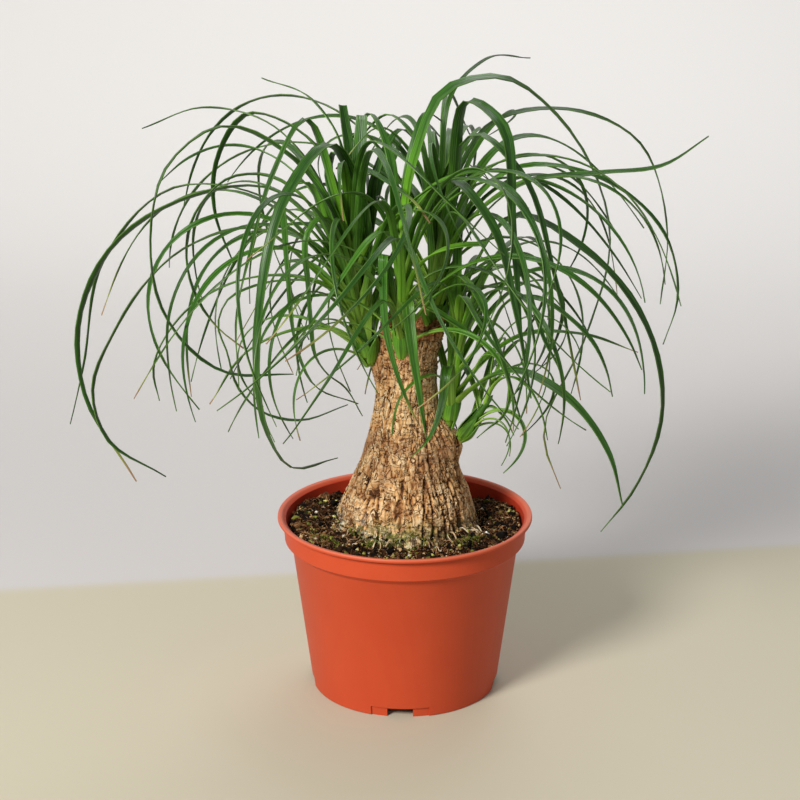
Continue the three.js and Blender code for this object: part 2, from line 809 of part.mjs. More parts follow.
// Where a leaf starts, as [out, up]: sunk into the side of the sheath, this far up its axis
function rootPoint(shoot, root) {
  return [sheathRadius(shoot, root / shoot.height) - rootSink, root * Math.cos(shoot.lean * degree)];
}

// The leaves that a shoot's rule adds, from its oldest, lowest leaf to its youngest
function ruleLeaves(name) {
  const shoot = shoots[name];
  const random = randomFrom(shoot.seed);
  const grown = [];
  for (let i = 0; i < shoot.count; i += 1) {
    const young = i / (shoot.count - 1);
    const grownSize = 0.3 + 0.7 * Math.min(1, young / 0.35);
    const size = grownSize * (1 - 0.35 * Math.max(0, (young - 0.75) / 0.25));
    const turn = (i * goldenTurn) % 1 - 0.5;
    const bearing = shoot.facing + shoot.spread * turn + 14 * (random() - 0.5);
    const length = shoot.length * size * (0.72 + 0.46 * random());
    const rise = 24 + 60 * young ** 0.55 + 20 * (random() - 0.5);
    const fall = -104 + 66 * young ** 3 + 60 * (random() - 0.5);
    const bend = 0.65 + 0.7 * random();
    const drift = 80 * (random() - 0.5);
    const twist = 150 * (random() - 0.5);
    const width = shoot.width * (0.45 + 0.55 * random()) * (0.7 + 0.3 * size);
    const root = 4 + 0.86 * shoot.height * young;
    grown.push({ shoot: name, bearing, drift, twist, width, root, fullLength: length, rise, fall, bend });
  }
  return grown;
}

function shownLeaf(leaf, i) {
  const shoot = shoots[leaf.shoot];
  const root = Math.min(shoot.height * (0.2 + 0.6 * ((i * goldenTurn) % 1)), 0.6 * leaf.through[0][1]);
  const course = courseThrough([rootPoint(shoot, root), ...leaf.through]);
  return { shown: true, drift: 0, root, ...leaf, course };
}

function swingsTo(most, step) {
  const swings = [0];
  for (let swing = step; swing <= most; swing += step) {
    swings.push(swing, -swing);
  }
  return swings;
}

// Places every leaf in turn, and swings or shortens it until it is clear of the other leaves, the trunk and
// the pot. A leaf that finds no room isn't grown.
function placeLeaves() {
  const sheaths = Object.entries(shoots).map(([name, shoot]) => {
    const stations = sheathStations(shoot);
    return { shoot: name, stations, bounds: boundsOf(stations) };
  });
  const placed = [];
  const fits = (leaf, swings) => swings.some((swing) => {
    const trial = { ...leaf, bearing: leaf.bearing + swing };
    trial.stations = stationsOf(trial);
    trial.bounds = boundsOf(trial.stations);
    if (meetsTrunkOrPot(trial) || (!leaf.shown && leavesCrown(trial))) {
      return false;
    }
    if (sheaths.some((other) => other.shoot !== leaf.shoot && leavesTouch(trial, other))) {
      return false;
    }
    if (placed.some((other) => leavesTouch(trial, other))) {
      return false;
    }
    placed.push(trial);
    return true;
  });
  shownLeaves.map(shownLeaf).forEach((leaf) => fits(leaf, swingsTo(shownSwing, shownSwingStep)));
  Object.keys(shoots).flatMap(ruleLeaves).forEach((leaf) => shorter.some((part) => {
    const start = rootPoint(shoots[leaf.shoot], leaf.root);
    const course = courseArching(start, leaf.fullLength * part, leaf.rise, leaf.fall, leaf.bend);
    return fits({ ...leaf, course }, swingsTo(ruleSwing, ruleSwingStep));
  }));
  return placed;
}

// A three-sided blade: flat on its upper face, with a keel under its middle
function bladeSolid(leaf) {
  const { stations } = leaf;
  const steps = stations.length - 1;
  const bluntTip = leaf.blunt ? 1 : 0;
  const blade = new THREE.ConeGeometry(1, 1, 3, steps + bluntTip);
  const cornerSine = Math.sin(120 * degree);
  return solid(reshaped(blade, (place) => {
    const ring = Math.round((place.y + 0.5) * (steps + bluntTip));
    const radius = Math.hypot(place.x, place.z);
    const aside = radius > 1e-6 ? place.x / radius / cornerSine : 0;
    const under = radius > 1e-6 ? (place.z / radius + 0.5) / 1.5 : 1 / 3;
    const station = stations[Math.min(ring, steps)];
    const depth = Math.max(thinnestBlade, bladeDepth * Math.min(1, station.half / 1.5));
    const isTip = ring === steps + bluntTip;
    place.copy(station.place);
    if (isTip && leaf.blunt) {
      place.addScaledVector(station.place.clone().sub(stations[steps - 1].place).normalize(), 1.2);
    }
    if (!isTip) {
      place.addScaledVector(station.across, aside * station.half);
      place.addScaledVector(station.face, -under * depth);
    }
  }));
}

function sheathRadius(shoot, share) {
  return shoot.bulb * along(sheathOutline, share);
}

// The green base of a shoot, where the sheaths of its leaves wrap one another
function sheathSolid(shoot, grown) {
  const side = sheathOutline.slice(0, -1).map(([up, out]) => [
    out * shoot.bulb + grown,
    up * shoot.height - (up === 0 ? grown : 0),
  ]);
  const profile = [[0, -grown], ...side, [0, shoot.height + grown]];
  const upright = new THREE.Vector3(0, 0, 1);
  const turn = new THREE.Quaternion().setFromUnitVectors(upright, sheathAxis(shoot));
  return solid(turned(profile, 8).applyQuaternion(turn).translate(...shoot.base));
}

// The whole palm

const palm = new THREE.Group();

function addNode(name, body, colour, roughness) {
  const mesh = body.getMesh();
  const geometry = new THREE.BufferGeometry();
  geometry.setAttribute('position', new THREE.BufferAttribute(mesh.vertProperties, 3));
  geometry.setIndex(new THREE.BufferAttribute(mesh.triVerts, 1));
  geometry.computeVertexNormals();
  const material = new THREE.MeshStandardMaterial({ color: colour, roughness, metalness: 0 });
  const node = new THREE.Mesh(geometry, material);
  node.name = name;
  palm.add(node);
}

const leaves = placeLeaves();
const seats = Object.values(shoots).map((shoot) => sheathSolid(shoot, clearance));

addNode('pot', makePot(), 0xc8552f, 0.5);
addNode('soil', makeSoil(), 0x2b2019, 0.95);
addNode('trunk', makeTrunk().subtract(together(seats)), 0xa9825a, 0.85);
for (const [name, shoot] of Object.entries(shoots)) {
  const blades = leaves.filter((leaf) => leaf.shoot === name).map(bladeSolid);
  addNode(`shoot_${name}`, joined([sheathSolid(shoot, 0), ...blades]), 0x3f7a34, 0.45);
}
export default palm;
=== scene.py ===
# A ponytail palm in a terracotta-coloured nursery pot: swollen corky trunk, cut top, arching strap leaves.
# The pieces are modelled in millimetres and become objects in metres, +Z up, with the origin at the centre
# of the pot's underside.
# A bearing is an angle seen from above, in degrees: 0 is right (+X), 90 is back (+Y), 180 is left.

import math

import bmesh
import bpy
import numpy as np
from mathutils import Matrix, Vector, noise


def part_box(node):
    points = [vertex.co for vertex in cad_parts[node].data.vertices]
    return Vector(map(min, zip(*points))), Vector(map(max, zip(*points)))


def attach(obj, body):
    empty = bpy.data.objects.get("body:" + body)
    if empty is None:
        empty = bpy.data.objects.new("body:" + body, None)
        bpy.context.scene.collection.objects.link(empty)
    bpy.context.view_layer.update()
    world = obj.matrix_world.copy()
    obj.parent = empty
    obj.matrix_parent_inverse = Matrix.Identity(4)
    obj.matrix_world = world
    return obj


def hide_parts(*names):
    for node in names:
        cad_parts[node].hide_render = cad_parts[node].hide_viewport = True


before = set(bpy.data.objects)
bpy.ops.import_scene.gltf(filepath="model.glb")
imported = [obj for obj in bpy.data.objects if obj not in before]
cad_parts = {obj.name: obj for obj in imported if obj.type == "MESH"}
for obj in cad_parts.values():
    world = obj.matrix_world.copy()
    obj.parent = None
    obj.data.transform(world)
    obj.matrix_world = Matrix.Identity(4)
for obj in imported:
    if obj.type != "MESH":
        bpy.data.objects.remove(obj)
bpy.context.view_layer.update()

METRES = 0.001
DEGREE = math.pi / 180
GOLDEN_TURN = 0.618034

# Pot, as high as in the frame
POT_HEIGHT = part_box("pot")[1].z / METRES
LIP_RADIUS = 83.2
LIP_HEIGHT = 2.5
LIP_INNER_RADIUS = 79.8
COLLAR_TOP_RADIUS = 79.6
COLLAR_FOOT_RADIUS = 78.7
COLLAR_FOOT_Z = 102
LEDGE_FOOT_Z = 98.4
BODY_TOP_RADIUS = 74.1
BASE_RADIUS = 61.3
POT_WALL = 1.7
FOOT_INNER_RADIUS = 58.3
FLOOR_UNDERSIDE = 6
FLOOR_TOP = 8
HUB_RADIUS = 13
SLOT_BEARINGS = [267, 357, 87, 177]
RECESS_WIDTH = 37.5
RECESS_HEIGHT = 6.6
RECESS_DEPTH = 1.2
NOTCH_WIDTH = 16.6
NOTCH_HEIGHT = 5.6
DRAIN_HOLE_RADIUS = 4.5
DRAIN_HOLE_DISTANCE = 48
RIB_WIDTH = 3
RIB_UNDERSIDE = 1.5
CUT_MARGIN = 5   # how far the bodies that cut the foot reach past its outside
CUT_BELOW = -1   # and how low they reach
POT_SIDES = 192

# Trunk: (height, radius) of its outline, then (height, shift to the right) of its axis
TRUNK_OUTLINE = [
    (70, 18), (76, 34), (86, 46), (97, 50), (105, 48.8), (113, 46.5),
    (122, 43.5), (133, 39.5), (145, 34.2), (157, 29), (170, 25), (180, 22.5),
    (191, 20), (205, 18.8), (219, 18.3), (230, 18.8), (238, 19.5), (246, 20),
]
TRUNK_LEAN = [(70, 0), (110, 0), (135, 2), (190, 1), (225, 1.5), (246, 4.5)]
TRUNK_FOOT = 70
TRUNK_TOP = 246
RIDGE_COUNT = 24
GROOVE_DEPTHS = [(96, 0), (108, 2.6), (180, 1.1), (246, 1.1)]  # (height, depth) between its ridges
KNOBS = [
    {"bearing": 188, "z": 219, "out": 4, "reach": 10},
    {"bearing": 352, "z": 169, "out": 9.5, "reach": 13},
    {"bearing": 265, "z": 228, "out": 2.5, "reach": 8},
    {"bearing": 35, "z": 236, "out": 3, "reach": 9},
]
SOIL_LEVEL = 106
LOWEST_SOIL = 103.4

# Heaps and dips of the soil: the middle of each, how far it spreads to the side and to the back, its height
SOIL_HEAPS = [
    (-66, 0, 18, 150, 5.5), (66, 0, 18, 150, 5.5), (40, 55, 40, 25, -3),
    (0, -62, 60, 30, 6.5), (-38, -34, 15, 17, 8), (36, -34, 15, 17, 8),
]

# Leaves, as the solids have them
BLADE_DEPTH = 0.85
LEAF_STEP = 38
SHOWN_LEAF_STEP = 33
FEWEST_STEPS = 4
FEWEST_SHOWN_STEPS = 7
MOST_STEPS = 12
COURSE_STEPS = 61  # a prime number, so that no station falls just where two spans of a course meet
LEAF_GAP = 0.45
ROOT_NARROWING = 0.3
ROOT_LENGTH = 16
ROOT_SINK = 2.4
TAPER_START = 0.35
TAPER_POWER = 1.6
TIP_TAPER = 0.86
BLUNT_TAPER = 0.3
TWIST_POWER = 1.3
DRIFT_POWER = 3
SHARED_ROOT = 44
SHOWN_SHARED_ROOT = 110
TRUNK_GAP = 1.8
SHEATH_CLEARANCE = 0.3
TOUCH_REACH = 14
SPAN_PARTS = 5  # in how many places a span of a leaf is measured to the trunk and the pot
FREE_ROOT = 4   # how far from its own root a leaf may touch the trunk
HEADROOM = 4    # over the trunk's top, and over and round the pot's lip

# The outline of the whole crown, and the opening in its front, through which the trunk shows
CROWN_CENTRE = (-11, 0, 250)
CROWN_REACH = 194
CROWN_RISE = 158
OPEN_FRONT = -18
OPEN_CENTRE = -4
OPEN_HALF = 60
OPEN_TOP = 232

SHOWN_SWING = (14, 2)
RULE_SWING = (40, 5)
SHORTER = (1, 0.87, 0.75, 0.65, 0.55)

# sheath is how far a shoot's blades widen towards their roots, bracts how many short scales wrap its base,
# and hang how far below the crown's centre its rule leaves may reach
SHOOTS = {
    "left": {
        "base": (-22, -6, 220), "lean": 12, "towards": 195, "bulb": 7, "height": 70,
        "sheath": 0.55, "bracts": 6,
        "hang": 72, "seed": 11, "count": 36, "facing": 185, "spread": 290, "length": 350, "width": 5.6,
    },
    "front": {
        "base": (-2, -19, 229), "lean": 7, "towards": 262, "bulb": 5, "height": 62,
        "sheath": 0.25, "bracts": 3,
        "hang": 72, "seed": 23, "count": 30, "facing": 262, "spread": 230, "length": 290, "width": 5.2,
    },
    "crown": {
        "base": (18, 13, 236), "lean": 7, "towards": 30, "bulb": 7.6, "height": 66,
        "sheath": 0.5, "bracts": 6,
        "hang": 76, "seed": 37, "count": 54, "facing": 60, "spread": 340, "length": 340, "width": 5.6,
    },
    "right": {
        "base": (28, -5, 177), "lean": 5, "towards": 5, "bulb": 5.4, "height": 90,
        "sheath": 0.3, "bracts": 3,
        "hang": 80, "seed": 41, "count": 48, "facing": 5, "spread": 270, "length": 320, "width": 5.2,
    },
    "low": {
        "base": (35, -9, 171), "lean": 34, "towards": 350, "bulb": 5, "height": 38,
        "sheath": 0.15, "bracts": 3,
        "hang": 110, "seed": 59, "count": 14, "facing": 345, "spread": 230, "length": 150, "width": 4,
    },
}

# The outline of a shoot's sheath: (share of its height, share of the bulb's radius)
SHEATH_OUTLINE = [
    (0, 0.4), (0.09, 0.78), (0.17, 1), (0.26, 0.96), (0.45, 0.74), (0.7, 0.52), (0.93, 0.36), (1, 0),
]


def shown(shoot, bearing, width, twist, through, drift=0, blunt=False):
    """A listed leaf: through holds its course as (out, up) from the base of the shoot's sheath."""
    return {
        "shown": True, "shoot": shoot, "bearing": bearing, "width": width, "twist": twist,
        "through": through, "drift": drift, "blunt": blunt,
    }


SHOWN_LEAVES = [
    shown("left", 178, 7.5, 60, [
        (19, 73), (57, 114), (110, 108), (161, 74), (183, 26), (182, -18), (150, -80),
    ]),
    shown("left", 196, 7, 50, [
        (26, 62), (65, 94), (108, 85), (154, 35), (169, -2), (162, -33), (126, -62),
    ]),
    shown("left", 170, 4, 40, [(25, 79), (67, 109), (118, 112), (170, 60), (186, -9), (197, -50)]),
    shown("left", 205, 8, 40, [
        (13, 100), (41, 138), (87, 160), (119, 140), (132, 96), (124, 47), (89, 8), (42, 0),
    ]),
    shown("left", 160, 6.5, 50, [(10, 104), (34, 145), (74, 157), (97, 124), (98, 89), (86, 60)]),
    shown("left", 235, 9, 10, [
        (5, 112), (34, 148), (78, 123), (103, 69), (100, -18), (81, -44), (30, -54),
    ]),
    shown("left", 216, 7, 25, [(15, 113), (37, 162), (61, 129), (77, 86), (88, 50), (88, 0)]),
    shown("left", 190, 6, 30, [(17, 50), (62, 62), (111, 41), (132, 3), (129, -16)]),
    shown("left", 140, 3, 20, [(4, 80), (15, 150), (34, 167), (77, 176)]),
    shown("left", 165, 4, 30, [(16, 104), (58, 154), (101, 161), (141, 146)]),
    shown("left", 310, 7.5, 10, [
        (-17, 85), (-33, 127), (-28, 134), (-13, 130), (12, 126), (34, 120), (51, 114), (64, 104),
    ]),
    shown("left", 75, 9, 5, [(3, 70), (5, 120), (14, 158)], blunt=True),
    shown("left", 120, 8, 15, [(6, 70), (16, 120), (40, 160)], blunt=True),
    shown("left", 186, 6, 30, [(20, 24), (45, 25), (75, 12), (100, -22)]),
    shown("left", 184, 7, 25, [
        (16, 82), (37, 114), (55, 124), (77, 123), (100, 100), (106, 73), (102, 51), (88, 27), (72, 13),
    ]),
    shown("left", 200, 4, 40, [
        (26, 56), (52, 61), (70, 59), (88, 51), (94, 36),
        (89, 19), (82, -6), (69, -22), (41, -32), (10, -25),
    ]),
    shown("left", 222, 6, 10, [
        (20, 91), (40, 125), (53, 121), (54, 96), (52, 62), (48, 26), (35, -4), (-3, -26),
    ]),
    shown("left", 230, 5, 15, [
        (18, 85), (33, 103), (46, 96), (47, 62), (45, 37), (42, 17), (32, 3), (14, -11), (-2, -34),
    ]),
    shown("front", 215, 8, 20, [(7, 99), (16, 148), (55, 112), (90, 78), (104, 30)]),
    shown("front", 237, 6, 5, [
        (10, 39), (16, 61), (20, 72), (24, 50), (27, 32), (28, 8), (29, -6), (28, -23), (29, -35),
    ], drift=56),
    shown("front", 283, 6.6, 5, [
        (8, 28), (14, 41), (21, 27), (25, 17), (28, 6), (32, -11), (32, -22), (31, -44),
    ], drift=18),
    shown("front", 345, 6.5, 10, [(4, 31), (10, 35), (20, 33), (30, 28), (42, 21)], blunt=True),
    shown("front", 318, 6.5, 20, [(5, 39), (9, 54), (23, 70), (42, 78), (56, 79)], drift=20, blunt=True),
    shown("front", 318, 8, 25, [(12, 90), (40, 120), (70, 100), (92, 45), (104, -4)]),
    shown("front", 25, 8.5, 50, [
        (10, 130), (28, 166), (66, 173), (112, 142), (150, 60), (134, 0), (104, -66), (118, -104),
    ]),
    shown("crown", 310, 9.5, 20, [(14, 100), (27, 153), (56, 143), (68, 83), (80, 0)]),
    shown("crown", 330, 6, 30, [(4, 100), (28, 132), (58, 112), (84, 48), (104, -29)]),
    shown("crown", 355, 6, 50, [(10, 60), (50, 98), (100, 106), (140, 112), (166, 130)]),
    shown("crown", 15, 5, 40, [(8, 90), (34, 134), (83, 141), (133, 119), (157, 56), (154, 8)]),
    shown("crown", 2, 5, 50, [(8, 60), (48, 107), (95, 103), (146, 60), (154, 19), (146, -10)]),
    shown("crown", 60, 3, 30, [(2, 90), (13, 150), (60, 168), (125, 161)]),
    shown("right", 345, 8, 45, [
        (10, 100), (38, 142), (84, 121), (126, 66), (134, 20), (118, -34), (98, -64),
    ]),
    shown("right", 263, 6.5, 10, [
        (8, 22), (16, 47), (22, 45), (27, 28), (32, 18), (41, 5), (45, 2), (51, -3),
    ], drift=-23),
    shown("right", 207, 3.4, 10, [(3, 23), (9, 37), (22, 40), (34, 37), (44, 29), (49, 15), (50, 6)]),
    shown("right", 320, 6.5, 15, [
        (16, 89), (32, 115), (44, 121), (55, 105), (62, 88), (70, 70), (81, 54), (85, 40),
    ]),
    shown("right", 332, 5.5, 30, [(22, 63), (39, 91), (58, 94), (78, 85), (95, 71), (105, 53), (109, 38)]),
    shown("right", 335, 4.5, 30, [
        (15, 40), (25, 54), (32, 52), (38, 41), (40, 28), (36, 14), (25, 3), (18, -4),
    ]),
    shown("right", 330, 8, 30, [(12, 26), (45, 46), (80, 36), (112, 2), (122, -30)]),
    shown("right", 20, 4, 40, [(10, 30), (45, 58), (90, 56), (130, 40)]),
    shown("low", 338, 3.4, 20, [(4, 14), (10, 25), (16, 29), (19, 24), (12, 12), (9, 2), (8, -3)]),
    shown("low", 357, 3.6, 20, [(4, 10), (10, 20), (16, 23), (26, 15), (32, 4)]),
    shown("front", 60, 7.5, 10, [(4, 80), (10, 120), (30, 150), (60, 140)]),
    shown("front", 130, 7, 15, [(6, 90), (14, 130), (36, 150), (64, 128)]),
    shown("crown", 150, 7, 10, [(4, 80), (14, 120), (36, 138), (64, 116)]),
    shown("crown", 200, 7.5, 15, [(6, 70), (14, 112), (38, 136), (68, 112)]),
    shown("crown", 240, 6.5, 10, [(6, 80), (12, 125), (28, 144), (50, 128)]),
    shown("left", 40, 7.5, 10, [(8, 80), (18, 125), (40, 146), (70, 126)]),
    shown("right", 80, 6.5, 20, [(6, 90), (14, 140), (34, 165), (64, 150)]),
]


# Numbers

def random_from(seed):
    """Even random numbers from 0 to 1, the same on every run."""
    mask = 0xFFFFFFFF
    state = seed

    def draw():
        nonlocal state
        state = (state + 0x6D2B79F5) & mask
        mixed = ((state ^ (state >> 15)) * (state | 1)) & mask
        mixed ^= (mixed + ((mixed ^ (mixed >> 7)) * (mixed | 61) & mask)) & mask
        return ((mixed ^ (mixed >> 14)) & mask) / 2**32

    return draw


def along(pairs, x):
    """The value at x of a line through (x, value) pairs."""
    return np.interp(x, [pair[0] for pair in pairs], [pair[1] for pair in pairs])


def level(bearing):
    """The level direction at a bearing in degrees."""
    bearing = np.asarray(bearing, float) * DEGREE
    return np.stack([np.cos(bearing), np.sin(bearing), np.zeros_like(bearing)], axis=-1)


def eased(low, high, x):
    """0 below low, 1 above high, and eased between them."""
    share = np.clip((x - low) / (high - low), 0, 1)
    return share * share * (3 - 2 * share)


# Courses: a leaf's course lies in its upright plane, as close points (out, up)

def course_through(points):
    """A smooth curve through a few given points."""
    points = np.array(points, float)
    steps = np.diff(points, axis=0)
    spans = np.hypot(steps[:, 0], steps[:, 1])
    slopes = steps / spans[:, None]
    before, after = spans[:-1, None], spans[1:, None]
    inner = (slopes[:-1] * after + slopes[1:] * before) / (before + after)
    tangents = np.vstack([slopes[:1], inner, slopes[-1:]])
    place = np.arange(COURSE_STEPS + 1) / COURSE_STEPS * len(spans)
    i = np.minimum(len(spans) - 1, np.floor(place).astype(int))
    t = (place - i)[:, None]
    span = spans[i][:, None]
    ease = t * t * (3 - 2 * t)
    leaving = t * (1 - t) ** 2 * span * tangents[i]
    arriving = t * t * (t - 1) * span * tangents[i + 1]
    return (1 - ease) * points[i] + leaving + ease * points[i + 1] + arriving


def course_arching(start, length, rise, fall, bend):
    """An arch that leaves at the angle rise and bends over to the angle fall."""
    share = ((np.arange(1, COURSE_STEPS + 1) - 0.5) / COURSE_STEPS) ** bend
    angle = (rise - (rise - fall) * share * share * (3 - 2 * share)) * DEGREE
    steps = np.stack([np.cos(angle), np.sin(angle)], axis=1) * (length / COURSE_STEPS)
    return np.cumsum(np.vstack([start, steps]), axis=0)


def course_distances(course):
    steps = np.diff(course, axis=0)
    return np.concatenate([[0], np.cumsum(np.hypot(steps[:, 0], steps[:, 1]))])


def rooted_width(leaf, distance, share):
    """The width that keeps a leaf clear of the others: narrow at its root, tapered over its outer part."""
    rooted = 1 - ROOT_NARROWING * np.exp(-distance / ROOT_LENGTH)
    outer = np.maximum(0, (share - TAPER_START) / (1 - TAPER_START)) ** TAPER_POWER
    return leaf["width"] * rooted * (1 - (BLUNT_TAPER if leaf["blunt"] else TIP_TAPER) * outer)


def stations(leaf, steps):
    """Even stations along a leaf: place, the directions of its width and face, half its width, distance."""
    shoot = SHOOTS[leaf["shoot"]]
    course = leaf["course"]
    distances = course_distances(course)
    share = np.arange(steps + 1) / steps
    distance = share * distances[-1]
    i = np.clip(np.searchsorted(distances, distance, side="left"), 1, len(course) - 1)
    part = ((distance - distances[i - 1]) / (distances[i] - distances[i - 1]))[:, None]
    out, up = (course[i - 1] + (course[i] - course[i - 1]) * part).T
    slope = np.arctan2(course[i, 1] - course[i - 1, 1], course[i, 0] - course[i - 1, 0])[:, None]
    bearing = leaf["bearing"] + leaf["drift"] * share**DRIFT_POWER
    outward = level(bearing)
    across = level(bearing + 90)
    upright = np.array([0, 0, 1])
    face = -outward * np.sin(slope) + upright * np.cos(slope)
    twist = (leaf["twist"] * share ** TWIST_POWER * DEGREE)[:, None]
    leaning = leaf["root"] * math.sin(shoot["lean"] * DEGREE)
    start = np.array(shoot["base"]) + level(shoot["towards"]) * leaning
    return {
        "place": start + outward * out[:, None] + upright * up[:, None],
        "across": across * np.cos(twist) + face * np.sin(twist),
        "face": face * np.cos(twist) - across * np.sin(twist),
        "half": rooted_width(leaf, distance, share) / 2,
        "distance": distance,
        "share": share,
    }


# Placing the leaves

def sheath_radius(shoot, share):
    return shoot["bulb"] * along(SHEATH_OUTLINE, share)


def sheath_axis(shoot):
    axis = level(shoot["towards"]) * math.sin(shoot["lean"] * DEGREE)
    return axis + np.array([0, 0, math.cos(shoot["lean"] * DEGREE)])


def root_point(shoot, root):
    """Where a leaf starts, as (out, up): sunk into the side of the sheath, this far up its axis."""
    out = sheath_radius(shoot, root / shoot["height"]) - ROOT_SINK
    return (out, root * math.cos(shoot["lean"] * DEGREE))


def knob_rise(bearing, z, radius):
    """How far the trunk stands out at the knobs that carry the shoots. The bearing is in radians."""
    rise = np.zeros_like(np.asarray(bearing, float) + z)
    for knob in KNOBS:
        turn = bearing / DEGREE - knob["bearing"]
        turn = turn - 360 * np.round(turn / 360)
        distance = ((turn * DEGREE * radius) ** 2 + (z - knob["z"]) ** 2) / knob["reach"] ** 2
        rise = rise + knob["out"] * np.exp(-distance)
    return rise


def trunk_radius(bearing, z):
    radius = along(TRUNK_OUTLINE, z)
    return radius + knob_rise(bearing, z, radius)


class Placed:
    """The straight spans of everything that a new leaf has to keep clear of."""

    def __init__(self):
        self.rows = []
        self.table = None

    def add(self, shoot, is_shown, ends, half, across=None, face=None):
        count = len(ends) - 1
        nowhere = np.zeros((count, 3))
        self.rows.append({
            "start": ends[:-1],
            "end": ends[1:],
            "half": half[:-1],
            "across": nowhere if across is None else across[:-1],
            "face": nowhere if face is None else face[:-1],
            "round": np.full(count, across is None),
            "root": np.repeat(ends[:1], count, axis=0),
            "shoot": np.full(count, list(SHOOTS).index(shoot)),
            "shown": np.full(count, is_shown),
        })
        self.table = {key: np.concatenate([row[key] for row in self.rows]) for key in self.rows[0]}

    def touched_by(self, leaf, row):
        """Whether a leaf's spans touch any of these. Leaves of one shoot may meet near their roots."""
        low, high = row["place"].min(0) - TOUCH_REACH, row["place"].max(0) + TOUCH_REACH
        spans_high = np.maximum(self.table["start"], self.table["end"])
        spans_low = np.minimum(self.table["start"], self.table["end"])
        near = (spans_high > low).all(1) & (spans_low < high).all(1)
        others = {key: values[near] for key, values in self.table.items()}
        a0, a1 = row["place"][:-1, None], row["place"][1:, None]
        b0, b1 = others["start"][None], others["end"][None]
        u, v, w = a1 - a0, b1 - b0, a0 - b0
        uu, uv, vv = (u * u).sum(-1), (u * v).sum(-1), (v * v).sum(-1)
        uw, vw = (u * w).sum(-1), (v * w).sum(-1)
        fall = uu * vv - uv * uv
        s = np.where(fall > 1e-9, np.clip((uv * vw - vv * uw) / np.maximum(fall, 1e-9), 0, 1), 0)
        t = np.clip((uv * s + vw) / vv, 0, 1)
        s = np.clip((uv * t - uw) / uu, 0, 1)
        p, q = a0 + u * s[..., None], b0 + v * t[..., None]
        own = others["shoot"] == list(SHOOTS).index(leaf["shoot"])
        zone = np.where(others["shown"] & leaf["shown"], SHOWN_SHARED_ROOT, SHARED_ROOT) * own
        near_roots = (np.linalg.norm(p - row["place"][0], axis=-1) < zone)
        near_roots &= (np.linalg.norm(q - others["root"][None], axis=-1) < zone)
        apart = q - p
        distance = np.linalg.norm(apart, axis=-1)
        direction = apart / np.maximum(distance, 1e-9)[..., None]

        def reach(across, face, half):
            wide = np.abs((across * direction).sum(-1)) * half
            return wide + np.abs((face * direction).sum(-1)) * BLADE_DEPTH

        own_reach = reach(row["across"][:-1, None], row["face"][:-1, None], row["half"][:-1, None])
        their_reach = reach(others["across"][None], others["face"][None], others["half"][None])
        their_reach = np.where(others["round"], others["half"], their_reach)
        close = (distance < 0.5) | (distance < own_reach + their_reach + LEAF_GAP)
        is_sheath_of_own = own & others["round"]
        return bool((close & ~near_roots & ~is_sheath_of_own).any())


def meets_trunk_or_pot(row):
    """Whether a leaf comes too near the trunk, past its own root, or the pot."""
    parts = np.arange(SPAN_PARTS) * (1 / SPAN_PARTS)
    start, end = row["place"][:-1, None], row["place"][1:, None]
    place = start + (end - start) * parts[None, :, None]
    x = place[..., 0] - along(TRUNK_LEAN, place[..., 2])
    y, z = place[..., 1], place[..., 2]
    bearing = np.arctan2(y, x)
    outward = np.stack([np.cos(bearing), np.sin(bearing), np.zeros_like(x)], axis=-1)
    across, face = row["across"][:-1, None], row["face"][:-1, None]
    margin = np.abs((across * outward).sum(-1)) * row["half"][:-1, None]
    margin = margin + np.abs((face * outward).sum(-1)) * BLADE_DEPTH + TRUNK_GAP
    near_trunk = (z < TRUNK_TOP + HEADROOM) & (np.hypot(x, y) < trunk_radius(bearing, z) + margin)
    off_root = np.linalg.norm(place - row["place"][0], axis=-1) > FREE_ROOT
    near_pot = (z < POT_HEIGHT + HEADROOM) & (np.hypot(place[..., 0], y) < LIP_RADIUS + HEADROOM)
    return bool(((near_trunk & off_root) | near_pot).any())


def leaves_crown(row, hang):
    """Whether a leaf reaches out of the crown, or hangs in the opening before the trunk."""
    x, y, z = row["place"].T
    aside = np.hypot(x - CROWN_CENTRE[0], y - CROWN_CENTRE[1]) / CROWN_REACH
    up = z - CROWN_CENTRE[2]
    outside = np.hypot(aside, up / np.where(up > 0, CROWN_RISE, hang)) > 1
    opening = (y < OPEN_FRONT) & (np.abs(x - OPEN_CENTRE) < OPEN_HALF) & (z < OPEN_TOP)
    return bool((outside | opening).any())


def rule_leaves(name, shoot):
    """The leaves that a shoot's rule adds, from its oldest, lowest leaf to its youngest."""
    random = random_from(shoot["seed"])
    rows = []
    # The oldest leaves are the shortest and most level, and the youngest stand up and are a little shorter
    for i in range(shoot["count"]):
        young = i / (shoot["count"] - 1)
        grown_size = 0.3 + 0.7 * min(1, young / 0.35)
        size = grown_size * (1 - 0.35 * max(0, (young - 0.75) / 0.25))
        turn = (i * GOLDEN_TURN) % 1 - 0.5
        rows.append({
            "shown": False,
            "blunt": False,
            "shoot": name,
            "bearing": shoot["facing"] + shoot["spread"] * turn + 14 * (random() - 0.5),
            "full_length": shoot["length"] * size * (0.72 + 0.46 * random()),
            "rise": 24 + 60 * young ** 0.55 + 20 * (random() - 0.5),
            "fall": -104 + 66 * young ** 3 + 60 * (random() - 0.5),
            "bend": 0.65 + 0.7 * random(),
            "drift": 80 * (random() - 0.5),
            "twist": 150 * (random() - 0.5),
            "width": shoot["width"] * (0.45 + 0.55 * random()) * (0.7 + 0.3 * size),
            "root": 4 + 0.86 * shoot["height"] * young,
        })
    return rows


def swings_to(most, step):
    return [0] + [side * swing for swing in range(step, most + 1, step) for side in (1, -1)]


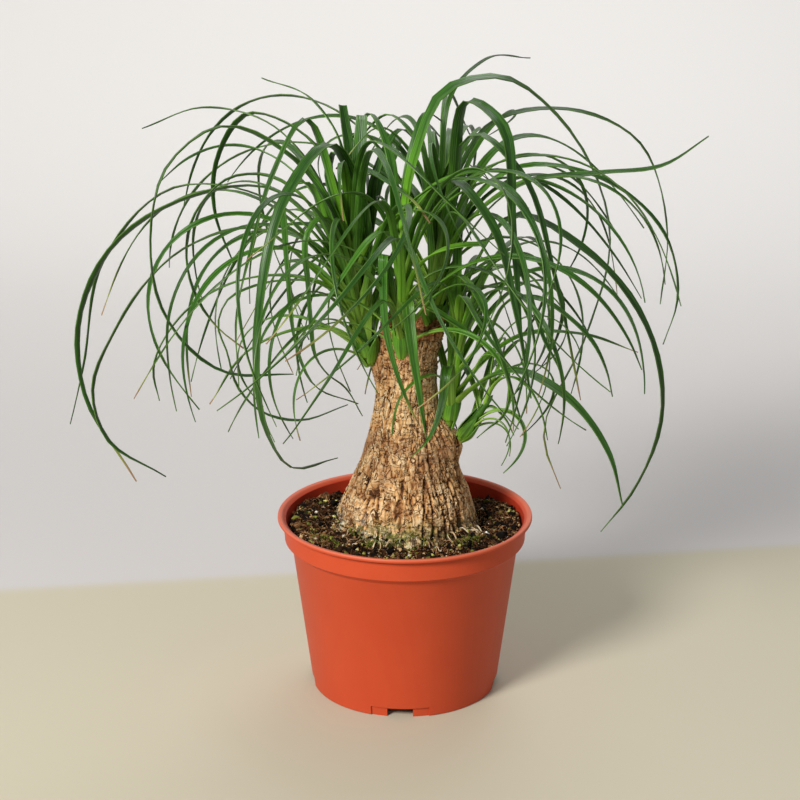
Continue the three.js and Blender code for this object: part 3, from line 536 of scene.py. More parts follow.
def place_leaves():
    """Places every leaf in turn, and swings or shortens it until it is clear of the rest."""
    placed = Placed()
    for name, shoot in SHOOTS.items():
        shares = np.array([share for share, _ in SHEATH_OUTLINE])
        ends = np.array(shoot["base"]) + sheath_axis(shoot) * (shares * shoot["height"])[:, None]
        placed.add(name, False, ends, sheath_radius(shoot, shares) + SHEATH_CLEARANCE)
    grown = []

    def fits(leaf, swings):
        hang = SHOOTS[leaf["shoot"]]["hang"]
        length = course_distances(leaf["course"])[-1]
        stride = SHOWN_LEAF_STEP if leaf["shown"] else LEAF_STEP
        fewest = FEWEST_SHOWN_STEPS if leaf["shown"] else FEWEST_STEPS
        steps = min(MOST_STEPS, max(fewest, math.floor(length / stride + 0.5)))
        for swing in swings:
            trial = {**leaf, "bearing": leaf["bearing"] + swing}
            row = stations(trial, steps)
            if meets_trunk_or_pot(row) or (not leaf["shown"] and leaves_crown(row, hang)):
                continue
            if placed.touched_by(trial, row):
                continue
            placed.add(leaf["shoot"], leaf["shown"], row["place"], row["half"], row["across"], row["face"])
            grown.append(trial)
            return True
        return False

    for i, leaf in enumerate(SHOWN_LEAVES):
        shoot = SHOOTS[leaf["shoot"]]
        root = min(shoot["height"] * (0.2 + 0.6 * ((i * GOLDEN_TURN) % 1)), 0.6 * leaf["through"][0][1])
        course = course_through([root_point(shoot, root), *leaf["through"]])
        fits({**leaf, "root": root, "course": course}, swings_to(*SHOWN_SWING))
    for name, shoot in SHOOTS.items():
        for leaf in rule_leaves(name, shoot):
            start = root_point(shoot, leaf["root"])
            for part in SHORTER:
                length = leaf["full_length"] * part
                course = course_arching(start, length, leaf["rise"], leaf["fall"], leaf["bend"])
                if fits({**leaf, "course": course}, swings_to(*RULE_SWING)):
                    break
    return grown


# Making objects

def add_object(name, data):
    made = bpy.data.objects.new(name, data)
    bpy.context.scene.collection.objects.link(made)
    return made


def mesh_from(bm, name, smooth):
    """A mesh with what a bmesh holds. The bmesh is freed."""
    mesh = bpy.data.meshes.new(name)
    bm.to_mesh(mesh)
    bm.free()
    mesh.polygons.foreach_set("use_smooth", np.full(len(mesh.polygons), smooth))
    return mesh


def piece(name, bm, material, replaces=(), smooth=True):
    """Turns a mesh in millimetres into a piece of the object in metres, that rides with the pot."""
    bmesh.ops.scale(bm, vec=(METRES,) * 3, verts=bm.verts)
    made = add_object(name, mesh_from(bm, name, smooth))
    made.data.materials.append(material)
    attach(made, "root")
    if replaces:
        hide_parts(*replaces)
    return made


def apply_modifiers(made):
    """Gives an object the mesh that its modifiers make."""
    evaluated = made.evaluated_get(bpy.context.evaluated_depsgraph_get())
    mesh = bpy.data.meshes.new_from_object(evaluated)
    made.modifiers.clear()
    made.data = mesh


def grid(bm, across, along_steps):
    """A flat grid, and its vertices' shares across (0 to 1) and along (0 to 1)."""
    verts = bmesh.ops.create_grid(bm, x_segments=across, y_segments=along_steps, size=0.5)["verts"]
    flat = np.array([vert.co for vert in verts])
    return verts, flat[:, 0] + 0.5, flat[:, 1] + 0.5


def move_to(verts, places):
    for vert, place in zip(verts, places.tolist()):
        vert.co = place


def mark(verts, layer, values):
    """Keeps three numbers on each vertex."""
    rows = np.zeros((len(verts), 3))
    for i, value in enumerate(values):
        rows[:, i] = value
    for vert, row in zip(verts, rows.tolist()):
        vert[layer] = row


def close_round(bm):
    """Closes the seam and the poles of a grid that was bent round, and turns its faces outwards."""
    bmesh.ops.remove_doubles(bm, verts=bm.verts, dist=0.005)
    bmesh.ops.dissolve_degenerate(bm, edges=bm.edges, dist=0.001)
    bmesh.ops.recalc_face_normals(bm, faces=bm.faces)


def pattern(bm):
    """A small shape that is copied many times, as a mesh and its vertices' places."""
    spots = np.array([vert.co for vert in bm.verts])
    return mesh_from(bm, "pattern", smooth=False), spots


def piece_of_copies(name, shape, copies, material, smooth=True):
    """One piece made of copies of a shape. A copy is (its vertices' places, its tone)."""
    bm = bmesh.new()
    for spots, _ in copies:
        shape.vertices.foreach_set("co", spots.astype(np.float32).ravel())
        bm.from_mesh(shape)
    made = piece(name, bm, material, smooth=smooth)
    kept = made.data.attributes.new("bit_tone", "FLOAT", "POINT")
    kept.data.foreach_set("value", np.repeat([tone for _, tone in copies], len(shape.vertices)))
    return made


# Shader maths

class Value:
    """A socket of a material's nodes. An expression on values adds its Math nodes."""

    def __init__(self, finish, socket):
        self.finish = finish
        self.socket = socket

    def math(self, operation, *values):
        return self.finish.node("ShaderNodeMath", {"operation": operation}, dict(enumerate(values)))

    def __add__(self, other):
        return self.math("ADD", self, other)

    def __radd__(self, other):
        return self.math("ADD", other, self)

    def __sub__(self, other):
        return self.math("SUBTRACT", self, other)

    def __rsub__(self, other):
        return self.math("SUBTRACT", other, self)

    def __mul__(self, other):
        return self.math("MULTIPLY", self, other)

    def __rmul__(self, other):
        return self.math("MULTIPLY", other, self)

    def sine(self):
        return self.math("SINE", self)

    def absolute(self):
        return self.math("ABSOLUTE", self)

    def ramp(self, low, high):
        """0 below low, 1 above high, and eased between them."""
        settings = {"interpolation_type": "SMOOTHSTEP"}
        sockets = {"Value": self, "From Min": low, "From Max": high}
        return self.finish.node("ShaderNodeMapRange", settings, sockets)


class Finish:
    """A procedural material round one Principled shader."""

    def __init__(self, name, **constants):
        self.material = bpy.data.materials.new(name)
        self.material.use_nodes = True
        self.tree = self.material.node_tree
        self.surface = self.tree.nodes["Principled BSDF"]
        for socket, value in constants.items():
            self.surface.inputs[socket.replace("_", " ")].default_value = value

    def node(self, kind, settings=None, sockets=None, output=0):
        made = self.tree.nodes.new(kind)
        for name, value in (settings or {}).items():
            if name == "stops":
                self.set_stops(made.color_ramp, value)
            else:
                setattr(made, name, value)
        for name, value in (sockets or {}).items():
            if isinstance(value, Value):
                self.tree.links.new(value.socket, made.inputs[name])
            else:
                made.inputs[name].default_value = value
        return Value(self, made.outputs[output])

    def set_stops(self, ramp, stops):
        while len(ramp.elements) < len(stops):
            ramp.elements.new(0.5)
        for element, (place, colour) in zip(ramp.elements, stops):
            element.position = place
            element.color = (*colour, 1)

    def place(self, stretch=(1, 1, 1)):
        """The place on the object in millimetres, stretched."""
        spot = self.node("ShaderNodeTexCoord", output="Object")
        scales = [share / METRES for share in stretch]
        return self.node("ShaderNodeMapping", {"vector_type": "POINT"}, {"Vector": spot, "Scale": scales})

    def split(self, vector):
        """The three numbers of a vector."""
        made = self.node("ShaderNodeSeparateXYZ", None, {0: vector}).socket.node
        return [Value(self, socket) for socket in made.outputs]

    def height(self):
        return self.split(self.place())[2]

    def noise(self, place, scale, detail=4, roughness=0.55, warp=0.0):
        sockets = {"Vector": place, "Scale": scale, "Detail": detail, "Roughness": roughness}
        sockets["Distortion"] = warp
        return self.node("ShaderNodeTexNoise", {"noise_dimensions": "3D"}, sockets)

    def seam(self, field, width, offset=0.0):
        """A thin wandering line: 1 where a noise passes through its middle, and 0 away from it."""
        return 1 - (field - (0.5 + offset)).absolute().ramp(width * 0.3, width)

    def cells(self, place, scale):
        return self.node("ShaderNodeTexVoronoi", {"feature": "F1"}, {"Vector": place, "Scale": scale})

    def colours(self, value, *stops):
        return self.node("ShaderNodeValToRGB", {"stops": stops}, {"Fac": value})

    def mix(self, first, second, factor):
        first = (*first, 1) if isinstance(first, tuple) else first
        second = (*second, 1) if isinstance(second, tuple) else second
        settings = {"data_type": "RGBA", "clamp_factor": True}
        return self.node("ShaderNodeMix", settings, {0: factor, 6: first, 7: second}, 2)

    def coats(self, colour, *coats):
        """Lays coats over a colour in turn. A coat is (its colour, how far it covers)."""
        for over, cover in coats:
            colour = self.mix(colour, over, cover)
        return colour

    def kept(self, name):
        """An attribute that was kept on the mesh, split in its three numbers."""
        return self.split(self.node("ShaderNodeAttribute", {"attribute_name": name}, output="Vector"))

    def dress(self, colour, roughness=None, height=None, depth=None):
        """Feeds the surface. height is in units of depth millimetres."""
        self.tree.links.new(colour.socket, self.surface.inputs["Base Color"])
        if roughness is not None:
            self.tree.links.new(roughness.socket, self.surface.inputs["Roughness"])
        if height is not None:
            sockets = {"Height": height, "Strength": 1.0, "Distance": depth * METRES}
            bump = self.node("ShaderNodeBump", None, sockets)
            self.tree.links.new(bump.socket, self.surface.inputs["Normal"])
        return self.material


# Finishes

def pot_finish():
    """Satin terracotta-coloured plastic: painted shade inside, a paler lip top (edge wear and a painted
    highlight), faint scuffs, and darker patches low down.
    """
    finish = Finish("terracotta_plastic", Specular_IOR_Level=0.2)
    spot = finish.place()
    height = finish.height()
    cloudy = finish.noise(spot, 0.035, 3)
    grain = finish.noise(spot, 2.6, 3, 0.6)
    scuffs = finish.noise(finish.place((1, 1, 6)), 0.35, 5, 0.7).ramp(0.64, 0.8)
    out = finish.node("ShaderNodeVectorMath", {"operation": "LENGTH"}, {0: finish.place((1, 1, 0))}, 1)
    taper = (BODY_TOP_RADIUS - BASE_RADIUS) / LEDGE_FOOT_Z
    collar_taper = (COLLAR_TOP_RADIUS - COLLAR_FOOT_RADIUS) / (POT_HEIGHT - COLLAR_FOOT_Z)
    body = height * taper + (BASE_RADIUS - POT_WALL / 2)
    collar = (height - COLLAR_FOOT_Z) * collar_taper + (COLLAR_FOOT_RADIUS - POT_WALL / 2)
    middle = body + (collar - body) * height.ramp(LEDGE_FOOT_Z, COLLAR_FOOT_Z + 0.7)
    # Painted shade: the inside of the pot, up to just under the lip, is coloured a darker red.
    inside = (middle - out).ramp(0.0, 0.4) * height.ramp(FLOOR_UNDERSIDE, FLOOR_TOP)
    inside = inside * (1 - height.ramp(POT_HEIGHT - 1.2, POT_HEIGHT - 0.3))
    # The lip's top is paler: partly edge wear, partly a painted highlight.
    lip = height.ramp(POT_HEIGHT - 1.6, POT_HEIGHT - 0.3)
    # Darker red patches towards the foot, fading out by 14 mm up.
    foot_darkening = finish.noise(spot, 0.2, 4).ramp(0.45, 0.75) * (1 - height.ramp(0, 14))
    colour = finish.coats(
        finish.mix((0.46, 0.054, 0.017), (0.52, 0.07, 0.023), cloudy),
        ((0.72, 0.19, 0.09), scuffs * 0.25),
        ((0.66, 0.2, 0.12), lip * 0.45),
        ((0.45, 0.06, 0.02), foot_darkening * 0.3),
        ((0.4, 0.03, 0.012), inside * 0.8),
    )
    return finish.dress(colour, 0.43 + cloudy * 0.1 + scuffs * 0.12, grain + cloudy * 4, 0.04)


def leaf_finish():
    """Strap leaf: fine parallel veins, lime at the root, deep green along the blade, and a few dry tips."""
    dark, mid, bright = (0.004, 0.03, 0.002), (0.021, 0.112, 0.007), (0.14, 0.38, 0.04)
    finish = Finish("strap_leaf", Specular_IOR_Level=0.32)
    across, distance, share = finish.kept("blade_place")
    tone, dry, fresh = finish.kept("blade_kind")
    blotch = finish.noise(finish.place(), 0.09, 4)
    drawn_out = {0: across * 2.4, 1: distance * 0.02, 2: tone * 40}
    streaks = finish.noise(finish.node("ShaderNodeCombineXYZ", None, drawn_out), 2.2, 4, 0.65)
    veins = (across * 22).sine() * 0.5 + 0.5
    rim = (across * across).ramp(0.72, 1.0)
    # 0 on the blade's middle line, where the bottom of the channel gets painted shade, and 1 beside it.
    clear_of_fold_shade = (across * across).ramp(0.0, 0.05)
    youth = 1 - distance.ramp(20, 120)
    root = 1 - distance.ramp(4, 40)
    turning = (share + streaks * 0.08).ramp(0.9, 1.0) * dry
    tip = (share + streaks * 0.04).ramp(0.97, 1.0) * dry
    colour = finish.coats(
        finish.mix(dark, mid, tone * 0.9 + (blotch - 0.5) * 0.8),
        (bright, streaks.ramp(0.45, 0.75) * 0.6),
        (bright, veins * 0.3),
        ((0.2, 0.5, 0.025), youth * (0.05 + fresh * 0.95)),
        ((0.34, 0.6, 0.07), root * 0.65),
        (dark, distance.ramp(60, 190) * 0.5),
    )
    # Painted shade: the blade's middle line, at the bottom of its channel, is mixed more than halfway to
    # dark green.
    colour = finish.coats(
        finish.mix(dark, colour, 0.45 + clear_of_fold_shade * 0.55),
        ((0.4, 0.6, 0.14), rim * (0.12 + (1 - distance.ramp(8, 40)) * 0.5)),
        ((0.3, 0.32, 0.07), turning * 0.75),
        ((0.3, 0.19, 0.09), tip),
    )
    return finish.dress(colour, 0.28 + blotch * 0.16 + tip * 0.3, veins + streaks * 1.2, 0.07)


def bark_finish():
    """Corky bark: tan plates, brown cracks that are partly painted shade, painted highlights beside them, a
    mineral bloom and green algae low down, an orange cut top.
    """
    finish = Finish("corky_bark", Specular_IOR_Level=0.22)
    spot = finish.place()
    side, back, height = finish.split(spot)
    pale, wet, cut = finish.kept("bark_kind")
    fine = finish.noise(spot, 1.1, 6, 0.7, 0.4)
    cloudy = finish.noise(spot, 0.045, 4, 0.6)
    wrinkles = finish.noise(finish.place((1, 1, 0.22)), 0.85, 5, 0.65, 0.5)
    rings = finish.noise(finish.place((0.25, 0.25, 1)), 0.75, 4, 0.6, 0.4)
    neck = height.ramp(165, 200)
    grain = wrinkles * (1 - neck) + rings * neck
    upright = finish.noise(finish.place((1, 1, 0.3)), 0.17, 2, 0.45, 1.2)
    crosswise = finish.noise(finish.place((0.45, 0.45, 1)), 0.19, 2, 0.45, 1.2)
    # Cracks and breaks darken the plates below: partly the bark's own darker fissures, partly painted shade
    # in them.
    cracks = finish.seam(upright, 0.024)
    breaks = finish.seam(crosswise, 0.022) * (0.2 + grain.ramp(0.42, 0.54) * 0.8)
    # Painted highlights: pale lines just beside the cracks and breaks, as lit flake edges.
    edges = finish.seam(upright, 0.02, 0.034) + finish.seam(crosswise, 0.018, 0.03)
    plates = finish.colours(
        pale + (grain - 0.5) * 0.5 + (fine - 0.5) * 0.3 - cracks * 0.5 - breaks * 0.4 + edges * 0.26,
        (0.14, (0.02, 0.007, 0.002)), (0.33, (0.17, 0.065, 0.019)), (0.5, (0.47, 0.235, 0.085)),
        (0.72, (0.73, 0.435, 0.185)), (0.97, (0.9, 0.7, 0.43)),
    )
    torn = finish.colours(
        wrinkles * 0.5 + pale * 0.5,
        (0.3, (0.03, 0.012, 0.006)), (0.5, (0.28, 0.085, 0.025)), (0.75, (0.6, 0.3, 0.12)),
    )
    band = height.ramp(138, 158) * (1 - height.ramp(166, 186)) * cloudy.ramp(0.35, 0.6)
    rusty = height.ramp(205, 228) * 0.26 + cloudy.ramp(0.42, 0.62) * 0.16
    bloom = finish.noise(spot, 0.13, 5, 0.7).ramp(0.5, 0.58) * wet * fine.ramp(0.38, 0.5)
    front = side.ramp(-30, -12) * (1 - side.ramp(8, 30)) * (1 - back.ramp(-38, -24)) * 0.75 + 0.25
    algae = finish.noise(spot, 0.16, 5, 0.7, 0.5).ramp(0.44, 0.56) * (1 - height.ramp(115, 131)) * front
    lichen = finish.noise(spot, 0.3, 4, 0.7).ramp(0.52, 0.6) * (1 - height.ramp(112, 124)) * front
    patches = finish.noise(spot, 0.2, 5, 0.75, 0.6)
    stain = patches.ramp(0.46, 0.53) * (1 - (height - patches * 24).ramp(98, 116))
    soiled = 1 - (height - fine * 8).ramp(100, 106)
    colour = finish.coats(
        plates,
        ((0.3, 0.13, 0.055), cloudy.ramp(0.5, 0.7) * 0.3),
        ((0.19, 0.064, 0.022), band * 0.5),
        ((0.36, 0.13, 0.04), rusty),
        ((0.86, 0.83, 0.7), bloom * 0.9),
        ((0.24, 0.27, 0.03), algae * 0.8),
        ((0.62, 0.64, 0.42), lichen * 0.6),
        ((0.03, 0.017, 0.008), stain * 0.88),
        ((0.05, 0.035, 0.016), soiled * 0.75),
        (torn, cut),
    )
    relief = grain * 0.9 + fine * 0.5 - cracks * 1.1 - breaks * 0.9 + edges * 0.4
    return finish.dress(colour, 0.74 + fine * 0.18, relief, 0.85)


def soil_finish():
    """The potting mix between its loose grains: near-black peat, brown and pale specks, dark moss."""
    finish = Finish("potting_mix", Specular_IOR_Level=0.1)
    spot = finish.place()
    tone = finish.noise(spot, 0.22, 5, 0.7)
    fine = finish.noise(spot, 2.2, 6, 0.75)
    specks = (1 - finish.cells(spot, 0.8).ramp(0.05, 0.2)) * fine.ramp(0.5, 0.6)
    moss = finish.noise(spot, 0.06, 3).ramp(0.54, 0.66) * fine.ramp(0.3, 0.55)
    brown = tone.ramp(0.35, 0.65) * fine.ramp(0.35, 0.6)
    colour = finish.coats(
        finish.mix((0.005, 0.003, 0.001), (0.04, 0.018, 0.007), brown),
        ((0.25, 0.18, 0.1), specks * 0.6),
        ((0.035, 0.055, 0.012), moss * 0.7),
    )
    return finish.dress(colour, 0.85 + fine * 0.15, fine + tone, 0.5)


def bits_finish(name, *tones, roughness=0.85):
    """Loose bits: each has its own tone from dark to pale, and grain of its own."""
    finish = Finish(name, Specular_IOR_Level=0.12)
    tone = finish.node("ShaderNodeAttribute", {"attribute_name": "bit_tone"}, output="Fac")
    grain = finish.noise(finish.place(), 1.2, 4, 0.65)
    stops = [(0.1 + 0.8 * i / (len(tones) - 1), colour) for i, colour in enumerate(tones)]
    colour = finish.colours(tone * 0.85 + (grain - 0.5) * 0.9 + 0.05, *stops)
    return finish.dress(colour, roughness - 0.1 + grain * 0.2, grain, 0.3)


# Pot

def wall_radius(z):
    return BASE_RADIUS + (BODY_TOP_RADIUS - BASE_RADIUS) * z / LEDGE_FOOT_Z


def rounded(centre, radius, start, end, steps=4):
    """Points on an arc in the plane of (radius, height), from one angle to another in degrees."""
    angles = [(start + (end - start) * i / steps) * DEGREE for i in range(steps + 1)]
    return [(centre[0] + radius * math.cos(a), centre[1] + radius * math.sin(a)) for a in angles]


def pot_profile():
    """The pot's section as (radius, height): underside, foot ring, wall, collar, lip, and down inside."""
    lip_foot = POT_HEIGHT - LIP_HEIGHT
    lip_middle = (LIP_RADIUS + LIP_INNER_RADIUS) / 2
    lip_round = (LIP_RADIUS - LIP_INNER_RADIUS) / 2
    return [
        (0, 0), (HUB_RADIUS, 0), (HUB_RADIUS + 1, FLOOR_UNDERSIDE),
        (FOOT_INNER_RADIUS + 0.4, FLOOR_UNDERSIDE), (FOOT_INNER_RADIUS, 0),
        *rounded((BASE_RADIUS - 0.9, 1), 1, -90, 0),
        (wall_radius(LEDGE_FOOT_Z - 0.4), LEDGE_FOOT_Z - 0.4), (BODY_TOP_RADIUS + 0.3, LEDGE_FOOT_Z + 0.1),
        *rounded((COLLAR_FOOT_RADIUS - 0.6, COLLAR_FOOT_Z + 0.3), 0.6, -52, 5),
        (COLLAR_TOP_RADIUS, lip_foot - 0.3),
        *rounded((LIP_RADIUS - 0.7, lip_foot + 0.7), 0.7, -90, 0),
        *rounded((LIP_RADIUS - lip_round, POT_HEIGHT - lip_round * 0.75), lip_round, 0, 45),
        (lip_middle, POT_HEIGHT), (LIP_INNER_RADIUS + 0.5, POT_HEIGHT - 0.35),
        (LIP_INNER_RADIUS, POT_HEIGHT - 0.9), (COLLAR_TOP_RADIUS - POT_WALL, POT_HEIGHT - 2.4),
        (COLLAR_FOOT_RADIUS - POT_WALL, COLLAR_FOOT_Z + 0.7),
        (BODY_TOP_RADIUS - POT_WALL, LEDGE_FOOT_Z + 0.5),
        (wall_radius(FLOOR_TOP + 2) - POT_WALL, FLOOR_TOP + 2),
        (wall_radius(FLOOR_TOP) - POT_WALL - 2, FLOOR_TOP), (0, FLOOR_TOP),
    ]


def spin_profile(bm, profile, sides):
    """A closed body from an outline of (radius, height) that starts and ends on the axis."""
    verts = [bm.verts.new((radius, 0, height)) for radius, height in profile]
    edges = [bm.edges.new(pair) for pair in zip(verts, verts[1:])]
    bmesh.ops.spin(
        bm, geom=verts + edges, cent=(0, 0, 0), axis=(0, 0, 1), dvec=(0, 0, 0), angle=2 * math.pi,
        steps=sides, use_merge=True,
    )
    close_round(bm)


def box_at(bm, bearing, inner, outer, width, z_low, z_high):
    """A box centred on a bearing, from one distance to another."""
    verts = bmesh.ops.create_cube(bm, size=1)["verts"]
    bmesh.ops.scale(bm, vec=(outer - inner, width, z_high - z_low), verts=verts)
    bmesh.ops.translate(bm, vec=((inner + outer) / 2, 0, (z_low + z_high) / 2), verts=verts)
    bmesh.ops.rotate(bm, cent=(0, 0, 0), matrix=Matrix.Rotation(bearing * DEGREE, 3, "Z"), verts=verts)


def curved_recess(bm, bearing):
    """A block over the outside of the foot, whose inner face follows the wall."""
    half_turn = math.asin(RECESS_WIDTH / 2 / BASE_RADIUS)
    outside = BASE_RADIUS + CUT_MARGIN
    section = [
        (wall_radius(CUT_BELOW) - RECESS_DEPTH, CUT_BELOW), (outside, CUT_BELOW),
        (outside, RECESS_HEIGHT), (wall_radius(RECESS_HEIGHT) - RECESS_DEPTH, RECESS_HEIGHT),
    ]
    face = bm.faces.new([bm.verts.new((radius, 0, z)) for radius, z in section])
    start = Matrix.Rotation(bearing * DEGREE - half_turn, 3, "Z")
    bmesh.ops.rotate(bm, cent=(0, 0, 0), matrix=start, verts=face.verts)
    bmesh.ops.spin(
        bm, geom=[face, *face.edges, *face.verts], cent=(0, 0, 0), axis=(0, 0, 1), dvec=(0, 0, 0),
        angle=2 * half_turn, steps=12,
    )


def reshape(body, bm, operation="DIFFERENCE"):
    """Cuts a mesh in millimetres out of a finished body, or joins it on."""
    bmesh.ops.recalc_face_normals(bm, faces=bm.faces)
    bmesh.ops.scale(bm, vec=(METRES,) * 3, verts=bm.verts)
    tool = add_object("tool", mesh_from(bm, "tool", smooth=False))
    boolean = body.modifiers.new("reshape", "BOOLEAN")
    boolean.operation = operation
    boolean.object = tool
    apply_modifiers(body)
    bpy.data.objects.remove(tool)


def make_pot(material):
    bm = bmesh.new()
    spin_profile(bm, pot_profile(), POT_SIDES)
    pot = piece("pot_moulding", bm, material, ["pot"])
    ribs, recesses, notches = bmesh.new(), bmesh.new(), bmesh.new()
    rib_top, outside = FLOOR_UNDERSIDE + 1, BASE_RADIUS + CUT_MARGIN
    for bearing in SLOT_BEARINGS:
        box_at(ribs, bearing + 45, HUB_RADIUS - 2, FOOT_INNER_RADIUS + 1, RIB_WIDTH, RIB_UNDERSIDE, rib_top)
        curved_recess(recesses, bearing)
        box_at(notches, bearing, FOOT_INNER_RADIUS - 3, outside, NOTCH_WIDTH, CUT_BELOW, NOTCH_HEIGHT)
        hole = bmesh.ops.create_cone(
            recesses, segments=24, radius1=DRAIN_HOLE_RADIUS, radius2=DRAIN_HOLE_RADIUS,
            depth=FLOOR_TOP + 6, cap_ends=True,
        )["verts"]
        x, y, _ = level(bearing) * DRAIN_HOLE_DISTANCE
        bmesh.ops.translate(recesses, vec=(x, y, FLOOR_TOP / 2), verts=hole)
    reshape(pot, ribs, "UNION")
    reshape(pot, recesses)
    reshape(pot, notches)
    pot.data.set_sharp_from_angle(angle=35 * DEGREE)
    return pot


# Trunk

TRUNK_COLUMNS = 330
TRUNK_ROWS = 286
BURIED_ROWS = 0.04  # the share of the rows that lie under the soil
BURIED_POINT = 4    # the point of the trunk's section just under the soil's top
RIM_POINT = -6      # its last point before the cut top


def fissures(bearing, z):
    """The grooves between the bark's broad ridges, as in the trunk's solid."""
    wander = 0.5 * np.sin(z / 17 + 3 * bearing) + 0.35 * np.sin(z / 7.3 + 5 * bearing)
    groove = (1 - np.abs(np.sin(bearing * RIDGE_COUNT / 2 + wander))) ** 2
    strength = 0.75 + 0.25 * np.sin(z / 9 + 4 * bearing)
    return along(GROOVE_DEPTHS, z) * strength * groove


def lines(places, scales, width, warp=0.35):
    """Thin wandering lines, 1 on a line and 0 away from it: where a stretched noise passes through zero."""
    values = []
    for x, y, z in (places / scales).tolist():
        shift = warp * noise.noise(Vector((2.1 * x + 7, 2.1 * y, 2.1 * z)))
        values.append(abs(noise.noise(Vector((x + shift, y - shift, z)))))
    return 1 - eased(0, width, np.array(values))


def fractal(places, scales, octaves=4):
    """Rough ups and downs round 0."""
    return np.array([noise.fractal(Vector(spot), 0.9, 2.1, octaves) for spot in (places / scales).tolist()])


def trunk_section():
    """The trunk's outline as (radius, height), from the pole under the soil to the pole of the cut top."""
    side = [(radius, z) for z, radius in TRUNK_OUTLINE]
    rim = side[-1][0]
    top = [
        (rim - 0.6, TRUNK_TOP + 0.8), (rim - 2, TRUNK_TOP + 1), (rim - 5, TRUNK_TOP - 2),
        (rim - 9, TRUNK_TOP - 5), (0, TRUNK_TOP - 7),
    ]
    return np.array([(0, TRUNK_FOOT), *side, *top], float)


def trunk_skin(up):
    """For a share of the grid's rows: radius, height, and distance along the section past the rim."""
    section = trunk_section()
    lengths = np.concatenate([[0], np.cumsum(np.hypot(*np.diff(section, axis=0).T))])
    buried = lengths[BURIED_POINT]
    above = (up - BURIED_ROWS) / (1 - BURIED_ROWS) * (lengths[-1] - buried)
    distance = np.where(up < BURIED_ROWS, up / BURIED_ROWS * buried, buried + above)
    radius, z = (np.interp(distance, lengths, values) for values in section.T)
    return radius, z, distance - lengths[RIM_POINT]


def bark_lines(bearing, spots):
    """How far the bark stands out, how pale it is (0 in a crack, 1 on a plate), and its grit."""
    z = spots[:, 2]
    turned = np.stack([np.cos(bearing), np.sin(bearing), z], axis=1)
    low = 1 - eased(140, 200, z)
    # Scales in (turn, turn, height): a smaller first number makes more lines round the trunk
    splits = lines(turned, (0.28, 0.28, 46), 0.12) * (0.45 + 0.55 * low)
    cracks = lines(turned, (0.12, 0.12, 17), 0.15, 0.6) * (0.4 + 0.6 * low)
    creases = lines(spots, (5, 5, 16), 0.12)
    rings = lines(spots, (16, 16, 3.8), 0.13) * (1 - 0.85 * low)
    breaks = lines(spots, (12, 12, 5), 0.1) * low
    grit = fractal(spots, (1.8, 1.8, 5.5))
    swell = fractal(turned, (0.35, 0.35, 24), 2) * low
    carved = 2.0 * splits + 1.5 * cracks + 0.8 * creases + 0.7 * rings + 0.6 * breaks
    # The paleness is lower along every carved line: partly the bark's own darker fissures, partly painted
    # shade in them.
    pale = 0.84 + 0.12 * grit - 0.56 * splits - 0.44 * cracks - 0.22 * creases - 0.2 * rings - 0.2 * breaks
    return 0.2 * grit + 0.3 * swell - carved + 0.9, pale, grit


def make_trunk(material):
    """The caudex and its neck: one skin, with ridges low down, ringed wrinkles above and a torn top."""
    bm = bmesh.new()
    layer = bm.verts.layers.float_vector.new("bark_kind")
    verts, around, up = grid(bm, TRUNK_COLUMNS, TRUNK_ROWS)
    radius, z, past_rim = trunk_skin(up)
    bearing = around * 2 * math.pi
    x, y = radius * np.cos(bearing), radius * np.sin(bearing)
    spots = np.stack([x, y, z], axis=1)
    relief, pale, grit = bark_lines(bearing, spots)
    on_side = 1 - eased(-2, 3, past_rim)
    on_top = eased(-3, 1, past_rim)
    knobs = knob_rise(bearing, z, radius)
    groove = 0.35 * fissures(bearing, z)
    flaky = eased(196, 232, z) * np.maximum(0, np.cos(bearing + 0.3)) * 1.3 * fractal(spots, (5, 5, 3.5), 3)
    moved = on_side * (knobs - groove + flaky) + relief * (0.25 + 0.75 * on_side)
    widened = 1 + moved * (radius > 3) / np.maximum(radius, 1)
    torn = on_top * (1.9 * grit + 1.6 * np.sin(3 * bearing + 1) + 1.1 * np.sin(7 * bearing))
    move_to(verts, np.stack([x * widened + along(TRUNK_LEAN, z), y * widened, z + torn * (z > 200)], axis=1))
    cut_top = eased(237, 243, z + 3 * grit)
    raw_knobs = np.clip(knobs / 3.2, 0, 1) * eased(150, 165, z) * eased(-0.2, 0.5, grit)
    left_foot = eased(0.45, 0.92, -np.cos(bearing - 0.45))
    wet = (1 - eased(113, 131, z)) * (0.06 + 0.94 * left_foot)
    # The grooves between the broad ridges lower the paleness: painted shade in the grooves.
    mark(verts, layer, (pale - 0.1 * groove, wet, np.maximum(cut_top, 0.75 * raw_knobs)))
    close_round(bm)
    return piece("trunk_bark", bm, material, ["trunk"])


# Soil

SOIL_COLUMNS = 220
SOIL_ROWS = 130
RIM_ROW = 7       # the soil's top starts at the pot's wall
HOLE_ROW = 123    # and ends at the hole for the trunk
HOLE_RADIUS = 40
HOLE_FLOOR = 98
SOIL_RIM = COLLAR_FOOT_RADIUS - POT_WALL - 1.3
TRUNK_EDGE = 45.5  # the trunk's radius a little over the soil
PATCH_SIZE = 17


def soil_height(x, y):
    heaped = sum(
        height * np.exp(-(((x - middle_x) / aside) ** 2 + ((y - middle_y) / back) ** 2))
        for middle_x, middle_y, aside, back, height in SOIL_HEAPS
    )
    lumps = 1.5 * np.sin(0.31 * x + 1.3 * np.sin(0.23 * y)) * np.sin(0.29 * y + 1.1 * np.sin(0.19 * x))
    crumbs = 0.9 * np.sin(0.73 * x + 2) * np.sin(0.67 * y + 1)
    return np.maximum(SOIL_LEVEL + heaped + lumps + crumbs, LOWEST_SOIL)


def ground_height(x, y):
    """The height of the soil's top, or of the trunk's flank where that is higher."""
    foot = np.interp(np.hypot(x, y), [44, 46.5, 48.8, 50], [120, 113, 105, 97])
    return np.maximum(soil_height(x, y), foot)


